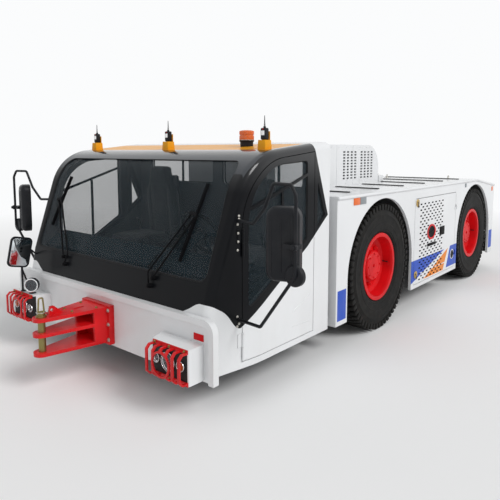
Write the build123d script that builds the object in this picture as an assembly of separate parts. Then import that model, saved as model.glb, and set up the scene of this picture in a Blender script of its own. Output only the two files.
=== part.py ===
from build123d import *
import os

# Aircraft pushback tractor with a low front cab, four equal steered wheels,
# a flat deck behind the cab and a pin hitch at each end.
# Millimetres. X points forward, Y to the left, Z up. While the pieces are drawn,
# X is counted from the front axle; the last step moves the origin to the middle
# of the overall length, on the ground.

# Sizes that the others follow
wheelbase = 2750
body_half_width = 1250
deck_height = 1350
cab_height = 1800
ground_clearance = 240

# Wheels and axles
wheel_centre_y = body_half_width - 170
tyre_radius = 613
tyre_width = 313
rim_seat_radius = 300
rim_flange_radius = 328
rim_flange_height_y = 135
rim_wall = 16
disc_radius = 236
disc_depth = 120
disc_thickness = 22
hub_radius = 146
hub_height = 63
hub_cap = 27
hub_back_radius = 95
hub_bore_radius = 50
running_clearance = 0.05
kingpin_y = wheel_centre_y - 220
kingpin_radius = 32
yoke_height = 165
yoke_thickness = 42
yoke_half_length = 62
knuckle_half_height = 115
axle_tube_radius = 95
diff_radius = 195
diff_half_length = 150
steer_swing_x = 760

# Rear body
body_front_x = steer_swing_x + 110
body_rear_x = -(wheelbase + steer_swing_x + 110)
tail_height = deck_height - 105
deck_kink_x = -(wheelbase + 70)
side_plate = 30
deck_plate = 25
deck_overhang = 10
wall_plate = 30
arch_radius = 680
arch_centre_z = 600
bay_top_z = deck_height - deck_plate - 51
bay_corner = 430
liner_thickness = 6
liner_inner_y = kingpin_y - 240
deck_slot_pitch = 585
deck_slot_first_x = body_front_x - 460
deck_slot_last_x = body_rear_x + 300
deck_slot_width = 46
deck_slot_end_y = body_half_width - 150
tail_lamp_y = (body_half_width - 480, body_half_width - 130)
tail_lamp_z = (650, 780)
tail_pocket_gap = 10

# Service doors between the wheels
service_front_x = -(arch_radius + 60)
service_rear_x = -(wheelbase - arch_radius - 80)
service_low_z = ground_clearance + 45
service_top_z = deck_height - 135
service_corner = 25
panel_gap = 6
service_slot_length = 50
service_slot_height = 16
service_slot_pitch_x = 107
service_slot_pitch_z = 32
service_slot_columns = 7
service_slot_first_x = service_front_x - 163
service_slot_top_z = service_top_z - 65
service_ring_x = -1215
service_ring_z = 860

# Hinges
hinge_barrel_radius = 8
hinge_lift = 9
hinge_length = 60
hinge_leaf_length = 42
hinge_leaf_thickness = 4
hinge_play = 1

# Cooling housing on the deck
housing_front_x = 830
housing_rear_x = -1220
housing_half_width = 570
housing_height = 445
housing_corner = 260
housing_wall = 12
housing_hole_length = 46
housing_hole_height = 18
housing_hole_pitch_x = 82
housing_hole_pitch_z = 32
housing_hole_rows = 10
housing_hole_low_z = 78

# Frame and engine
frame_half_width = liner_inner_y - 200
frame_low_z = 262
frame_cab_top_z = 425
frame_mid_top_z = 540
frame_axle_top_z = 980
axle_notch_top_z = 820
axle_notch_half_length = 290
axle_hump_half_length = 450
sponson_half_width = body_half_width - 75
sponson_top_z = 500
sponson_front_x = -(steer_swing_x + 40)
sponson_rear_x = -(wheelbase - steer_swing_x - 40)
engine_front_x = -(steer_swing_x + 110)
engine_rear_x = -(wheelbase - steer_swing_x - 100)
engine_half_width = frame_half_width - 20
engine_top_z = deck_height - 120

# Cab
cab_half_width = body_half_width - 35
cab_rear_x = body_front_x + 70
cab_nose_x = 2300
cab_nose_half_width = cab_half_width - 70
cab_taper_start_x = 1880
cab_bend_radius = 1200
cab_wall = 50
cab_floor_top_z = 450
cab_floor_plate = 25
cowl_z = 640
windscreen_base_x = 2258
windscreen_base_z = 840
brow_x = 1943
brow_z = cab_height - 94
brow_radius = 450
roof_rear_x = 1040
cab_edge_radius = 60
roof_half_width = cab_half_width - 85
roof_seam_rear_x = 1205
roof_seam_front_x = 1650
glass_thickness = 8
glass_inset = 10
screen_half_width = cab_nose_half_width - 60
screen_edge = 22
rear_window_z = (cab_height - 385, cab_height - 135)
rear_window_y = (60, cab_half_width - 235)
rear_window_bars = (-530, 700)
window_bar_width = 24
quarter_corners = ((1003, 1212), (1115, 1128), (1115, 1482))

# Lower edge of the cab's black zone: (y, z) round the nose, then (x, z) along the side
zone_step_z = 735
zone_nose_steps = ((852, cowl_z), (922, 660), (985, 693), (1085, zone_step_z))
zone_side_dip = ((cab_nose_x, zone_step_z), (2222, 703), (2152, 656), (2105, 600), (2068, 552),
                 (2028, 529), (1985, 548))
zone_side_climb = ((1985, 548), (1247, 992), (962, 1210), (1165, cab_height - 48))

# Cab doors
door_rear_x = 1160
door_front_x = 2010
door_low_z = ground_clearance + 45
door_top_front_z = cab_height - 162
door_top_rear_z = cab_height - 74
door_corner = 480
door_frame_width = 60
window_low_front_z = 640
window_low_rear_z = 1045
window_top_front_z = cab_height - 188
window_top_rear_z = cab_height - 145
door_bar_front_z = 1318
door_bar_rear_z = 1560
door_divider_x = 1580
door_hinge_length = 190
door_hinge_lift = 11
door_hinge_low = 395
door_hinge_high = 1115

# Cab interior
seat_y = 600
hand_wheel_radius = 190

# Mirrors
mirror_foot_x = 2040
mirror_foot_y = 1200
mirror_sweep = 0.186
mirror_tube_radius = 11
mirror_y = 1600
mirror_z = 1165
mirror_width = 215
mirror_height = 460
mirror_thickness = 90
mirror_turn = 20
round_mirror_y = 1700
round_mirror_z = 985
round_mirror_radius = 66

# Front plate, lamps and hitches
plate_half_width = body_half_width
plate_top_z = 660
plate_thickness = 50
plate_lip = 45
plate_recess = 25
plate_corner = 85
lamp_box_centre_y = 943
lamp_box_width = 400
lamp_box_low_z = 250
lamp_box_top_z = 490
lamp_box_depth = 135
lamp_radius = 66
guard_standoff = 75
guard_chamfer = 28
guard_bar_width = 20
guard_bar_depth = 11
guard_bars = 6
guard_ring_radius = 88
guard_flange_height = 26
hitch_plate_thickness = 26
hitch_plate_tops = (303, 443, 553)
hitch_root_half_width = 150
hitch_nose_radius = 62
hitch_web_length = 95
hitch_web_thickness = 20
hitch_mount_half_width = 180
hitch_mount_thickness = 45
hitch_pin_radius = 26
hitch_pin_low_z = 262
hitch_collar_radius = 37
hitch_ring_low_z = 590
hitch_ring_height = 100
hitch_ring_width = 46
hitch_ring_rod = 6
lug_thickness = 20
lug_height = 62
lug_rear = 165
lug_front = 50
lug_eye_radius = 13
lug_eye_back = 78
lug_eye_height = 34
front_hitch_reach = 440
rear_hitch_reach = 360

# Small fittings at the front and on the roof; wiper places are (y, z) on the front
wiper_feet = ((560, 768), (530, 855), (590, 826))
wiper_arm_radius = 7
wiper_blade_width = 14
wiper_blade_height = 22
wiper_tips = (((822, 1290), (868, 1282)), ((-885, 1292), (-925, 1283)))
wiper_blades = (((800, 966), (893, 1500)), ((-934, 1060), (-844, 1495)))
corner_mirror_x = 2467
corner_mirror_y = -988
corner_mirror_z = 847
corner_mirror_size = (195, 265, 22)
corner_mirror_lean = 12
work_lamp_x = 2425
work_lamp_y = -870
work_lamp_z = 566
work_lamp_radius = 62
aerial_x = 1600
aerial_y = cab_half_width - 155
aerial_foot_top_z = cab_height + 8
aerial_pod_height = 88
aerial_top_z = cab_height + 185
beacon_x = 1380
beacon_y = 700


# Helpers

def block(x0, x1, y0, y1, z0, z1):
    size = Box(abs(x1 - x0), abs(y1 - y0), abs(z1 - z0))
    return Pos((x0 + x1) / 2, (y0 + y1) / 2, (z0 + z1) / 2) * size


def side_face(points):
    """A flat face in the XZ plane from its corner points."""
    return Plane.XZ * make_face(Polyline(*points, close=True))


def across(face, y0, y1):
    """Pull a face that lies in the XZ plane from y0 to y1."""
    return Pos(0, y0, 0) * extrude(face, amount=-(y1 - y0))


def upright(face, z0, z1):
    """Pull a face that lies in the XY plane from z0 to z1."""
    return Pos(0, 0, z0) * extrude(face, amount=z1 - z0)


def other_side(part):
    return mirror(part, about=Plane.XZ)


def both_sides(part):
    return part + other_side(part)


def y_rod(radius, y0, y1, x, z):
    rod = Cylinder(radius, abs(y1 - y0), rotation=(90, 0, 0))
    return Pos(x, (y0 + y1) / 2, z) * rod


def z_rod(radius, z0, z1, x, y):
    return Pos(x, y, (z0 + z1) / 2) * Cylinder(radius, z1 - z0)


def bent_rod(points, bend, radius):
    """A round rod along straight runs; bend is the radius of its corners, if it has any."""
    path = FilletPolyline(*points, radius=bend) if bend else Polyline(*points)
    ring = Plane(origin=path @ 0, z_dir=path % 0) * Circle(radius)
    return sweep(ring, path=path)


def joined(parts):
    """One shape from several that touch or overlap."""
    whole = parts[0]
    for part in parts[1:]:
        whole = whole + part
    return whole


nodes = {}


# Wheels: the tyre and the rim are turned about the wheel's own axle

def turned(points):
    """Spin an outline about Y; each point is (distance along Y, radius)."""
    outline = [(radius, along) for along, radius in points]
    face = make_face(Polyline(*outline, close=True))
    return revolve(face, axis=Axis.Y)


def tyre_solid():
    half = tyre_width / 2
    bead = rim_flange_height_y - 13
    shoulder = tyre_radius - 38
    points = [
        (-bead, rim_seat_radius + 0.3),
        (-bead, rim_flange_radius + 1),
        (-half + 16, rim_flange_radius + 17),
        (-half + 5, rim_flange_radius + 50),
        (-half, tyre_radius - 150),
        (-half + 3, shoulder),
        (-half + 30, tyre_radius),
        (half - 30, tyre_radius),
        (half - 3, shoulder),
        (half, tyre_radius - 150),
        (half - 5, rim_flange_radius + 50),
        (half - 16, rim_flange_radius + 17),
        (bead, rim_flange_radius + 1),
        (bead, rim_seat_radius + 0.3),
    ]
    return turned(points)


def rim_solid():
    """A one-piece rim: deep dish, welded disc and a closed hub that stands out of it."""
    flange = rim_flange_height_y
    seat = rim_seat_radius
    barrel_in = seat - rim_wall
    disc_out = flange - disc_depth
    disc_in = disc_out - disc_thickness
    hub_face = disc_out + hub_height
    points = [
        (-flange, barrel_in),
        (-flange, rim_flange_radius),
        (-flange + 8, rim_flange_radius),
        (-flange + 12, seat),
        (flange - 12, seat),
        (flange - 8, rim_flange_radius),
        (flange, rim_flange_radius),
        (flange, barrel_in + 8),
        (flange - 22, barrel_in),
        (disc_out + 20, barrel_in - 12),
        (disc_out, disc_radius),
        (disc_out, hub_radius),
        (hub_face - 10, hub_radius),
        (hub_face, hub_radius - 10),
        (hub_face, 0),
        (hub_face - hub_cap, 0),
        (hub_face - hub_cap, hub_bore_radius),
        (-40, hub_bore_radius),
        (-40, hub_back_radius),
        (disc_in, hub_radius),
        (disc_in, disc_radius),
        (disc_in + 12, barrel_in - 12),
        (disc_in - 30, barrel_in),
    ]
    return turned(points)


def corner_parts(axle_x, name, side):
    """Knuckle, rim and tyre of one corner; side is 1 on the left, -1 on the right."""
    hub_end = rim_flange_height_y - disc_depth + hub_height - hub_cap - 2
    spindle_start = kingpin_y - wheel_centre_y
    spindle = y_rod(hub_bore_radius - running_clearance, spindle_start, hub_end, 0, 0)
    post = z_rod(72, -knuckle_half_height, knuckle_half_height, 0, spindle_start)
    pin = z_rod(kingpin_radius, -yoke_height, yoke_height, 0, spindle_start)
    flange = y_rod(118, spindle_start + 60, spindle_start + 84, 0, 0)
    knuckle = post + pin + spindle + flange
    parts = {"knuckle": knuckle, "rim": rim_solid(), "tyre": tyre_solid()}
    for piece, solid in parts.items():
        placed = Pos(axle_x, wheel_centre_y, tyre_radius) * solid
        if side < 0:
            placed = other_side(placed)
        nodes[piece + "_" + name] = placed


def axle_solid():
    """A live axle: tube, round differential housing, end yokes and two frame pads."""
    tube_end = kingpin_y - 80
    tube = y_rod(axle_tube_radius, -tube_end, tube_end, 0, 0)
    case_points = [
        (-diff_half_length - 120, 0),
        (-diff_half_length - 120, axle_tube_radius),
        (-diff_half_length + 30, diff_radius - 45),
        (-60, diff_radius),
        (60, diff_radius),
        (diff_half_length - 30, diff_radius - 45),
        (diff_half_length + 120, axle_tube_radius),
        (diff_half_length + 120, 0),
    ]
    axle = tube + turned(case_points)
    arm_end = kingpin_y + kingpin_radius + 28
    for level in (-1, 1):
        outer = level * yoke_height
        inner = level * (yoke_height - yoke_thickness)
        arm = block(-yoke_half_length, yoke_half_length, tube_end - 60, arm_end, outer, inner)
        web = block(-yoke_half_length, yoke_half_length, tube_end - 60, tube_end, 0, outer)
        bore = z_rod(kingpin_radius + running_clearance, -500, 500, 0, kingpin_y)
        axle = axle + both_sides((arm + web) - bore)
    pad_top = axle_notch_top_z - tyre_radius
    pad = block(-110, 110, frame_half_width - 110, frame_half_width, 0, pad_top)
    return axle + both_sides(pad)


for axle_name, axle_x in (("front", 0), ("rear", -wheelbase)):
    corner_parts(axle_x, axle_name + "_left", 1)
    corner_parts(axle_x, axle_name + "_right", -1)
    nodes["axle_" + axle_name] = Pos(axle_x, 0, tyre_radius) * axle_solid()


# Main frame: deep over the axles, low under the cab, wide between the wheels

def frame_outline():
    hump = axle_hump_half_length
    notch = axle_notch_half_length
    front = cab_nose_x - cab_wall
    rear = body_rear_x + wall_plate
    points = [(rear, frame_low_z)]
    for axle_x in (-wheelbase, 0):
        points.append((axle_x - notch, frame_low_z))
        points.append((axle_x - notch + 60, axle_notch_top_z))
        points.append((axle_x + notch - 60, axle_notch_top_z))
        points.append((axle_x + notch, frame_low_z))
    points.append((front, frame_low_z))
    points.append((front, frame_cab_top_z))
    points.append((body_front_x - wall_plate, frame_cab_top_z))
    for axle_x in (0, -wheelbase):
        points.append((axle_x + hump, frame_axle_top_z))
        points.append((axle_x - hump, frame_axle_top_z))
        if axle_x == 0:
            points.append((sponson_front_x, frame_mid_top_z))
            points.append((sponson_rear_x, frame_mid_top_z))
    points.append((rear, frame_axle_top_z))
    return points


frame = across(side_face(frame_outline()), -frame_half_width, frame_half_width)
sponson = block(sponson_rear_x, sponson_front_x, -sponson_half_width, sponson_half_width,
                frame_low_z, sponson_top_z)
nodes["main_frame"] = frame + sponson
nodes["engine_block"] = block(engine_rear_x, engine_front_x, -engine_half_width,
                              engine_half_width, frame_mid_top_z, engine_top_z)


# Wheel bays and their liners

def bay_face(grow):
    half = steer_swing_x + grow
    top = bay_top_z + grow
    face = side_face([(-half, 0), (half, 0), (half, top), (-half, top)])
    corners = face.vertices().sort_by(Axis.Z)[-2:]
    return fillet(corners, bay_corner + grow)


def above_deck_underside():
    low = deck_height - deck_plate
    face = side_face([
        (body_rear_x - 100, tail_height - deck_plate),
        (body_rear_x, tail_height - deck_plate),
        (deck_kink_x, low),
        (body_front_x + 100, low),
        (body_front_x + 100, low + 400),
        (body_rear_x - 100, low + 400),
    ])
    return across(face, 0, body_half_width + 100)


def liner_solid(axle_x):
    outer = across(bay_face(liner_thickness), liner_inner_y, body_half_width - side_plate)
    inner = across(bay_face(0), liner_inner_y - 1, body_half_width)
    below = block(-1000, 1000, 0, 2000, -10, ground_clearance)
    return Pos(axle_x, 0, 0) * (outer - inner - below) - above_deck_underside()


for axle_name, axle_x in (("front", 0), ("rear", -wheelbase)):
    nodes["arch_liners_" + axle_name] = both_sides(liner_solid(axle_x))


# Hinges: upright barrels that stand off the skin on leaves

def hinge_half(levels, length, direction, upper, leaf_low, leaf_high):
    """Barrel halves and leaves about the hinge's own axis; direction is the leaf's way in X."""
    halves = []
    for level in levels:
        low = level + hinge_play / 2 if upper else level - length / 2
        high = level + length / 2 if upper else level - hinge_play / 2
        halves.append(z_rod(hinge_barrel_radius, low, high, 0, 0)
                      + block(0, direction * hinge_leaf_length, leaf_low, leaf_high, low, high))
    return joined(halves)


# Rear body: side plates, deck, front wall, tail

def body_side_face():
    deck_low = deck_height - deck_plate
    return side_face([
        (body_rear_x, ground_clearance),
        (body_front_x, ground_clearance),
        (body_front_x, deck_low),
        (deck_kink_x, deck_low),
        (body_rear_x, tail_height - deck_plate),
    ])


def arch_cut(axle_x, y0, y1):
    round_part = y_rod(arch_radius, y0, y1, axle_x, arch_centre_z)
    legs = block(axle_x - arch_radius, axle_x + arch_radius, y0, y1, 0, arch_centre_z)
    return round_part + legs


def service_opening(grow, y0, y1):
    opening = block(service_rear_x - grow, service_front_x + grow, y0, y1,
                    service_low_z - grow, service_top_z + grow)
    uprights = opening.edges().filter_by(Axis.Y)
    return fillet(uprights, service_corner + grow)


service_hinge_levels = (service_low_z + 180, service_top_z - 180)


def service_hinge(direction, upper):
    half = hinge_half(service_hinge_levels, hinge_length, direction, upper,
                      -hinge_lift, hinge_leaf_thickness - hinge_lift)
    return Pos(service_rear_x - panel_gap / 2, body_half_width + hinge_lift, 0) * half


def side_panel():
    inner = body_half_width - side_plate
    plate = across(body_side_face(), inner, body_half_width)
    for axle_x in (0, -wheelbase):
        plate = plate - arch_cut(axle_x, inner - 10, body_half_width + 10)
    plate = plate - service_opening(panel_gap, inner - 10, body_half_width + 10)
    return plate + service_hinge(-1, True)


def service_slots():
    """Rows of short slots, each row half a pitch off the last, clear of the pull ring."""
    slots = []
    z = service_slot_top_z
    row = 0
    while z > service_low_z + service_slot_pitch_z:
        shift = row % 2
        for column in range(service_slot_columns - shift):
            x = service_slot_first_x - (column + shift / 2) * service_slot_pitch_x
            beside_ring = abs(x - service_ring_x) < 75 and abs(z - service_ring_z) < 90
            if not beside_ring:
                slots.append(Pos(x, z) * Rectangle(service_slot_length, service_slot_height))
        z = z - service_slot_pitch_z
        row = row + 1
    return across(Plane.XZ * (Sketch() + slots), body_half_width - side_plate - 1,
                  body_half_width + 1)


def service_door():
    door = service_opening(0, body_half_width - side_plate, body_half_width)
    return door - service_slots() + service_hinge(1, False)


nodes["side_panel_left"] = side_panel()
nodes["side_panel_right"] = other_side(nodes["side_panel_left"])
nodes["service_door_left"] = service_door()
nodes["service_door_right"] = other_side(nodes["service_door_left"])


def deck_solid():
    deck_low = deck_height - deck_plate
    tail_low = tail_height - deck_plate
    face = side_face([
        (body_rear_x, tail_low),
        (deck_kink_x, deck_low),
        (body_front_x, deck_low),
        (body_front_x, deck_height),
        (deck_kink_x, deck_height),
        (body_rear_x, tail_height),
    ])
    edge = body_half_width + deck_overhang
    deck = across(face, -edge, edge)
    x = deck_slot_first_x
    while x > deck_slot_last_x:
        beside_housing = x > housing_rear_x - deck_slot_width
        start_y = housing_half_width + 40 if beside_housing else 60
        slot = block(x - deck_slot_width / 2, x + deck_slot_width / 2,
                     start_y, deck_slot_end_y, tail_low - 50, deck_height + 10)
        deck = deck - both_sides(slot)
        x = x - deck_slot_pitch
    return deck


nodes["deck"] = deck_solid()


def body_front_wall():
    inner = body_half_width - side_plate
    wall = block(body_front_x - wall_plate, body_front_x, -inner, inner,
                 ground_clearance, deck_height - deck_plate)
    notch = block(body_front_x - wall_plate - 10, body_front_x + 10, -frame_half_width,
                  frame_half_width, 0, frame_cab_top_z)
    return wall - notch


def tail_panel():
    inner = body_half_width - side_plate
    top = tail_height - deck_plate
    panel = block(body_rear_x, body_rear_x + wall_plate, -inner, inner, ground_clearance, top)
    pocket = block(body_rear_x - 10, body_rear_x + 12,
                   tail_lamp_y[0] - tail_pocket_gap, tail_lamp_y[1] + tail_pocket_gap,
                   tail_lamp_z[0] - tail_pocket_gap, tail_lamp_z[1] + tail_pocket_gap)
    return panel - both_sides(pocket)


def tail_lamp():
    lamp = block(body_rear_x - 14, body_rear_x + 12, *tail_lamp_y, *tail_lamp_z)
    rim_edges = lamp.faces().sort_by(Axis.X)[0].edges()
    return fillet(rim_edges, 8)


nodes["body_front_wall"] = body_front_wall()
nodes["tail_panel"] = tail_panel()
nodes["tail_lamps"] = both_sides(tail_lamp())


# Perforated cooling housing behind the cab

def housing_face(inset):
    low = deck_height - inset
    top = deck_height + housing_height - inset
    rear = housing_rear_x + inset
    front = housing_front_x - inset
    radius = housing_corner - inset
    face = side_face([(rear, low), (front, low), (front, top), (rear, top)])
    rear_top = face.vertices().group_by(Axis.Z)[-1].sort_by(Axis.X)[0]
    return fillet(rear_top, radius)


def cooling_housing():
    outer = across(housing_face(0), -housing_half_width, housing_half_width)
    inner_half = housing_half_width - housing_wall
    inner = across(housing_face(housing_wall), -inner_half, inner_half)
    shell = outer - inner
    below = block(housing_rear_x - 10, housing_front_x + 10, -2000, 2000, 0, deck_height)
    shell = shell - below
    holes = None
    for group_x in (-410, -800):
        for column in range(4):
            x = group_x - column * housing_hole_pitch_x
            for row in range(housing_hole_rows):
                z = deck_height + housing_hole_low_z + row * housing_hole_pitch_z
                reach_x = housing_rear_x + housing_corner - x
                reach_z = z - (deck_height + housing_height - housing_corner)
                limit = housing_corner - 45
                if reach_x > 0 and reach_z > 0 and reach_x ** 2 + reach_z ** 2 > limit ** 2:
                    continue
                hole = block(x - housing_hole_length / 2, x + housing_hole_length / 2,
                             -2000, 2000, z - housing_hole_height / 2,
                             z + housing_hole_height / 2)
                holes = hole if holes is None else holes + hole
    return shell - holes


nodes["cooling_housing"] = cooling_housing()


# Cab: one volume, drawn at a chosen inset, gives the skin and the glass

def inset_face(points, plane, inset):
    face = plane * make_face(Polyline(*points, close=True))
    return offset(face, amount=-inset, kind=Kind.INTERSECTION) if inset else face


def cab_side_face(inset):
    face = inset_face([
        (cab_rear_x, ground_clearance),
        (cab_nose_x, ground_clearance),
        (cab_nose_x, cowl_z),
        (windscreen_base_x, windscreen_base_z),
        (brow_x, brow_z),
        (roof_rear_x, cab_height),
        (cab_rear_x, cab_height),
    ], Plane.XZ, inset)
    brow = face.vertices().sort_by_distance((brow_x, 0, brow_z))[0]
    return fillet(brow, brow_radius - inset)


def cab_plan_face(inset):
    face = inset_face([
        (cab_rear_x, -cab_half_width),
        (cab_taper_start_x, -cab_half_width),
        (cab_nose_x, -cab_nose_half_width),
        (cab_nose_x, cab_nose_half_width),
        (cab_taper_start_x, cab_half_width),
        (cab_rear_x, cab_half_width),
    ], Plane.XY, inset)
    bends = [corner for corner in face.vertices() if abs(corner.X - cab_taper_start_x) < 60]
    return fillet(bends, cab_bend_radius - inset)


def cab_volume(inset):
    profile = across(cab_side_face(inset), -cab_half_width - 50, cab_half_width + 50)
    plan = upright(cab_plan_face(inset), 0, cab_height + 100)
    return profile & plan


outer_cab = cab_volume(0)
side_edges = [
    edge for edge in outer_cab.edges()
    if edge.center().Z > ground_clearance + 50
    and edge.center().X > cab_rear_x + 10
    and abs(edge.center().Y) > cab_nose_half_width - 20
    and (abs(edge.tangent_at(0.5).Z) < 0.99 or edge.center().X > windscreen_base_x)
]
outer_cab = fillet(side_edges, cab_edge_radius)
inner_cab = cab_volume(cab_wall)
well = upright(cab_plan_face(cab_wall), 0, cab_floor_top_z)
cab_skin = outer_cab - inner_cab - well
glass_skin = cab_volume(glass_inset) - cab_volume(glass_inset + glass_thickness)


# The black zone runs round the front and along the doors

def black_zone():
    """Its lower edge runs level along the nose, steps up at each front corner, dips
    behind it and climbs along the door."""
    above = cab_height + 60
    ahead = cab_nose_x + 200
    side_dip = Spline(*zone_side_dip, tangents=((-1, -0.1), (-1, 0.6)))
    side_rest = Polyline(*zone_side_climb, (zone_side_climb[-1][0], above), (ahead, above),
                         (ahead, zone_step_z), zone_side_dip[0])
    side = Plane.XZ * make_face((side_dip + side_rest).edges())
    steps = [Spline(*((way * y, z) for y, z in zone_nose_steps),
                    tangents=((way, 0), (way, 0.1))) for way in (-1, 1)]
    inner = zone_nose_steps[0][0]
    outer = zone_nose_steps[-1][0]
    top = zone_step_z + 65
    front_rest = [Line((-inner, cowl_z), (inner, cowl_z)), Line((-outer, zone_step_z), (-outer, top)),
                  Line((-outer, top), (outer, top)), Line((outer, top), (outer, zone_step_z))]
    front = Plane.YZ * make_face(joined(steps + front_rest).edges())
    nose = Pos(cab_nose_x - 70, 0, 0) * extrude(front, amount=200)
    sides = across(side, -cab_half_width - 60, cab_half_width + 60)
    rear_wall = block(cab_rear_x, cab_rear_x + cab_wall + 1, -cab_half_width + cab_wall,
                      cab_half_width - cab_wall, 0, cab_height + 60)
    return sides - rear_wall + nose


def door_outline(shrink):
    """Door edge in side view, its top front corner swept round with the brow."""
    rear = door_rear_x + shrink
    front = door_front_x - shrink
    top = door_top_front_z - shrink
    face = side_face([(rear, door_low_z + shrink), (front, door_low_z + shrink),
                      (front, top), (rear, door_top_rear_z - shrink)])
    swept = face.vertices().sort_by_distance((front, 0, top))[0]
    return fillet(swept, door_corner - shrink)


def window_outline():
    rear = door_rear_x + door_frame_width + 40
    front = door_front_x - door_frame_width
    face = side_face([(rear, window_low_rear_z), (front, window_low_front_z),
                      (front, window_top_front_z), (rear, window_top_rear_z)])
    corners = ((front, window_top_front_z, door_corner - door_frame_width),
               (front, window_low_front_z, 30), (rear, window_low_rear_z, 30),
               (rear, window_top_rear_z, 30))
    for x, z, radius in corners:
        face = fillet(face.vertices().sort_by_distance((x, 0, z))[0], radius)
    return face


def window_bars():
    """A bar that slants down to the front, and an upright one below it."""
    rear = door_rear_x + door_frame_width
    front = door_front_x - door_frame_width + 40
    half = window_bar_width / 2
    slant = side_face([(rear, door_bar_rear_z - half), (front, door_bar_front_z - half),
                       (front, door_bar_front_z + half), (rear, door_bar_rear_z + half)])
    upright_bar = side_face([(door_divider_x - half, window_low_front_z),
                             (door_divider_x + half, window_low_front_z),
                             (door_divider_x + half, door_bar_front_z + 114),
                             (door_divider_x - half, door_bar_front_z + 114)])
    return across(slant + upright_bar, cab_half_width - 200, cab_half_width + 60)


zone_black = black_zone()
door_cut = both_sides(across(door_outline(0), cab_half_width - 150, cab_half_width + 60))
door_fill = across(door_outline(panel_gap), cab_half_width - 150, cab_half_width + 60)
window_fill = across(window_outline(), cab_half_width - 200, cab_half_width + 60)
roof_cut = block(roof_seam_rear_x, roof_seam_front_x, -roof_half_width, roof_half_width,
                 cab_height - 160, cab_height + 60)


def windscreen_cut():
    half = screen_half_width
    face = Plane.YZ * make_face(Polyline((-half, windscreen_base_z + screen_edge),
                                         (half, windscreen_base_z + screen_edge),
                                         (half, cab_height - 140), (-half, cab_height - 140),
                                         close=True))
    face = fillet(face.vertices(), 70)
    return Pos(1670, 0, 0) * extrude(face, amount=cab_nose_x - 1500)


def rear_window_cut():
    window = block(cab_rear_x - 10, cab_rear_x + cab_wall + 10, *rear_window_y, *rear_window_z)
    return both_sides(fillet(window.edges().filter_by(Axis.X), 40))


windscreen_zone = windscreen_cut()
rear_window_zone = rear_window_cut()
quarter_window = across(side_face(quarter_corners), cab_half_width - 200, cab_half_width + 60)
quarter_windows = both_sides(quarter_window)

fixed_skin = cab_skin - door_cut
rear_opening = block(cab_rear_x - 10, cab_rear_x + cab_wall + 1, -cab_half_width + cab_wall,
                     cab_half_width - cab_wall, 0, frame_cab_top_z)
floor_plate = upright(cab_plan_face(cab_wall), cab_floor_top_z - cab_floor_plate,
                      cab_floor_top_z)
over_glass_skin = outer_cab - cab_volume(glass_inset)
rear_bars = joined([block(cab_rear_x - 10, cab_rear_x + cab_wall, y - window_bar_width / 2,
                          y + window_bar_width / 2, *rear_window_z)
                    for y in rear_window_bars])
white_skin = fixed_skin - zone_black - rear_window_zone - rear_opening
black_skin = (fixed_skin & zone_black) - roof_cut - windscreen_zone - quarter_windows
nodes["roof"] = fixed_skin & roof_cut
nodes["windscreen"] = glass_skin & windscreen_zone
nodes["rear_window"] = glass_skin & rear_window_zone
nodes["quarter_glass"] = glass_skin & quarter_windows


# Cab doors: white lower panel, black window frame and glass on one hinge line

taper_run = cab_nose_x - cab_taper_start_x
taper_fall = cab_half_width - cab_nose_half_width
taper_length = (taper_run ** 2 + taper_fall ** 2) ** 0.5
door_hinge_y = (cab_nose_half_width + taper_fall * (cab_nose_x - door_front_x) / taper_run
                + door_hinge_lift * taper_length / taper_run)
door_hinge_plane = Plane(origin=(door_front_x, door_hinge_y, 0),
                         x_dir=(taper_run, -taper_fall, 0), z_dir=(0, 0, 1))


def door_hinge(level, direction, upper):
    """One half of a hinge, its leaf let 1.5 mm into the skin that it is welded to."""
    return door_hinge_plane * hinge_half((level,), door_hinge_length, direction, upper,
                                         -door_hinge_lift - 1.5, -door_hinge_lift + 5)


door_skin = cab_skin & door_fill
bars = over_glass_skin & window_fill & window_bars()
nodes["cab_shell"] = white_skin + floor_plate + both_sides(door_hinge(door_hinge_low, 1, True))
nodes["cab_frame"] = (black_skin + (over_glass_skin & rear_bars)
                      + both_sides(door_hinge(door_hinge_high, 1, True)))
nodes["door_panel_left"] = door_skin - zone_black + door_hinge(door_hinge_low, -1, False)
nodes["door_frame_left"] = ((door_skin & zone_black) - window_fill + bars
                            + door_hinge(door_hinge_high, -1, False))
nodes["door_glass_left"] = glass_skin & window_fill
for piece in ("door_panel", "door_frame", "door_glass"):
    nodes[piece + "_right"] = other_side(nodes[piece + "_left"])


# Cab interior

def seat(y):
    """Cushion on a pedestal, with side bolsters and a back that narrows to the head."""
    cushion = block(1180, 1650, y - 240, y + 240, 800, 930)
    cushion = fillet(cushion.faces().sort_by(Axis.Z)[-1].edges(), 45)
    back_face = side_face([(1125, 880), (1250, 900), (1215, 1230), (1190, 1480), (1180, 1570),
                           (1100, 1570), (1080, 1250)])
    back = across(back_face, y - 230, y + 230)
    shape = Plane.YZ * make_face(Polyline((y - 230, 850), (y + 230, 850), (y + 215, 1300),
                                          (y + 150, 1400), (y + 135, 1600), (y - 135, 1600),
                                          (y - 150, 1400), (y - 215, 1300), close=True))
    back = back & (Pos(1000, 0, 0) * extrude(shape, amount=400))
    pedestal = block(1260, 1560, y - 150, y + 150, cab_floor_top_z, 800)
    return cushion + back + pedestal


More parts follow.
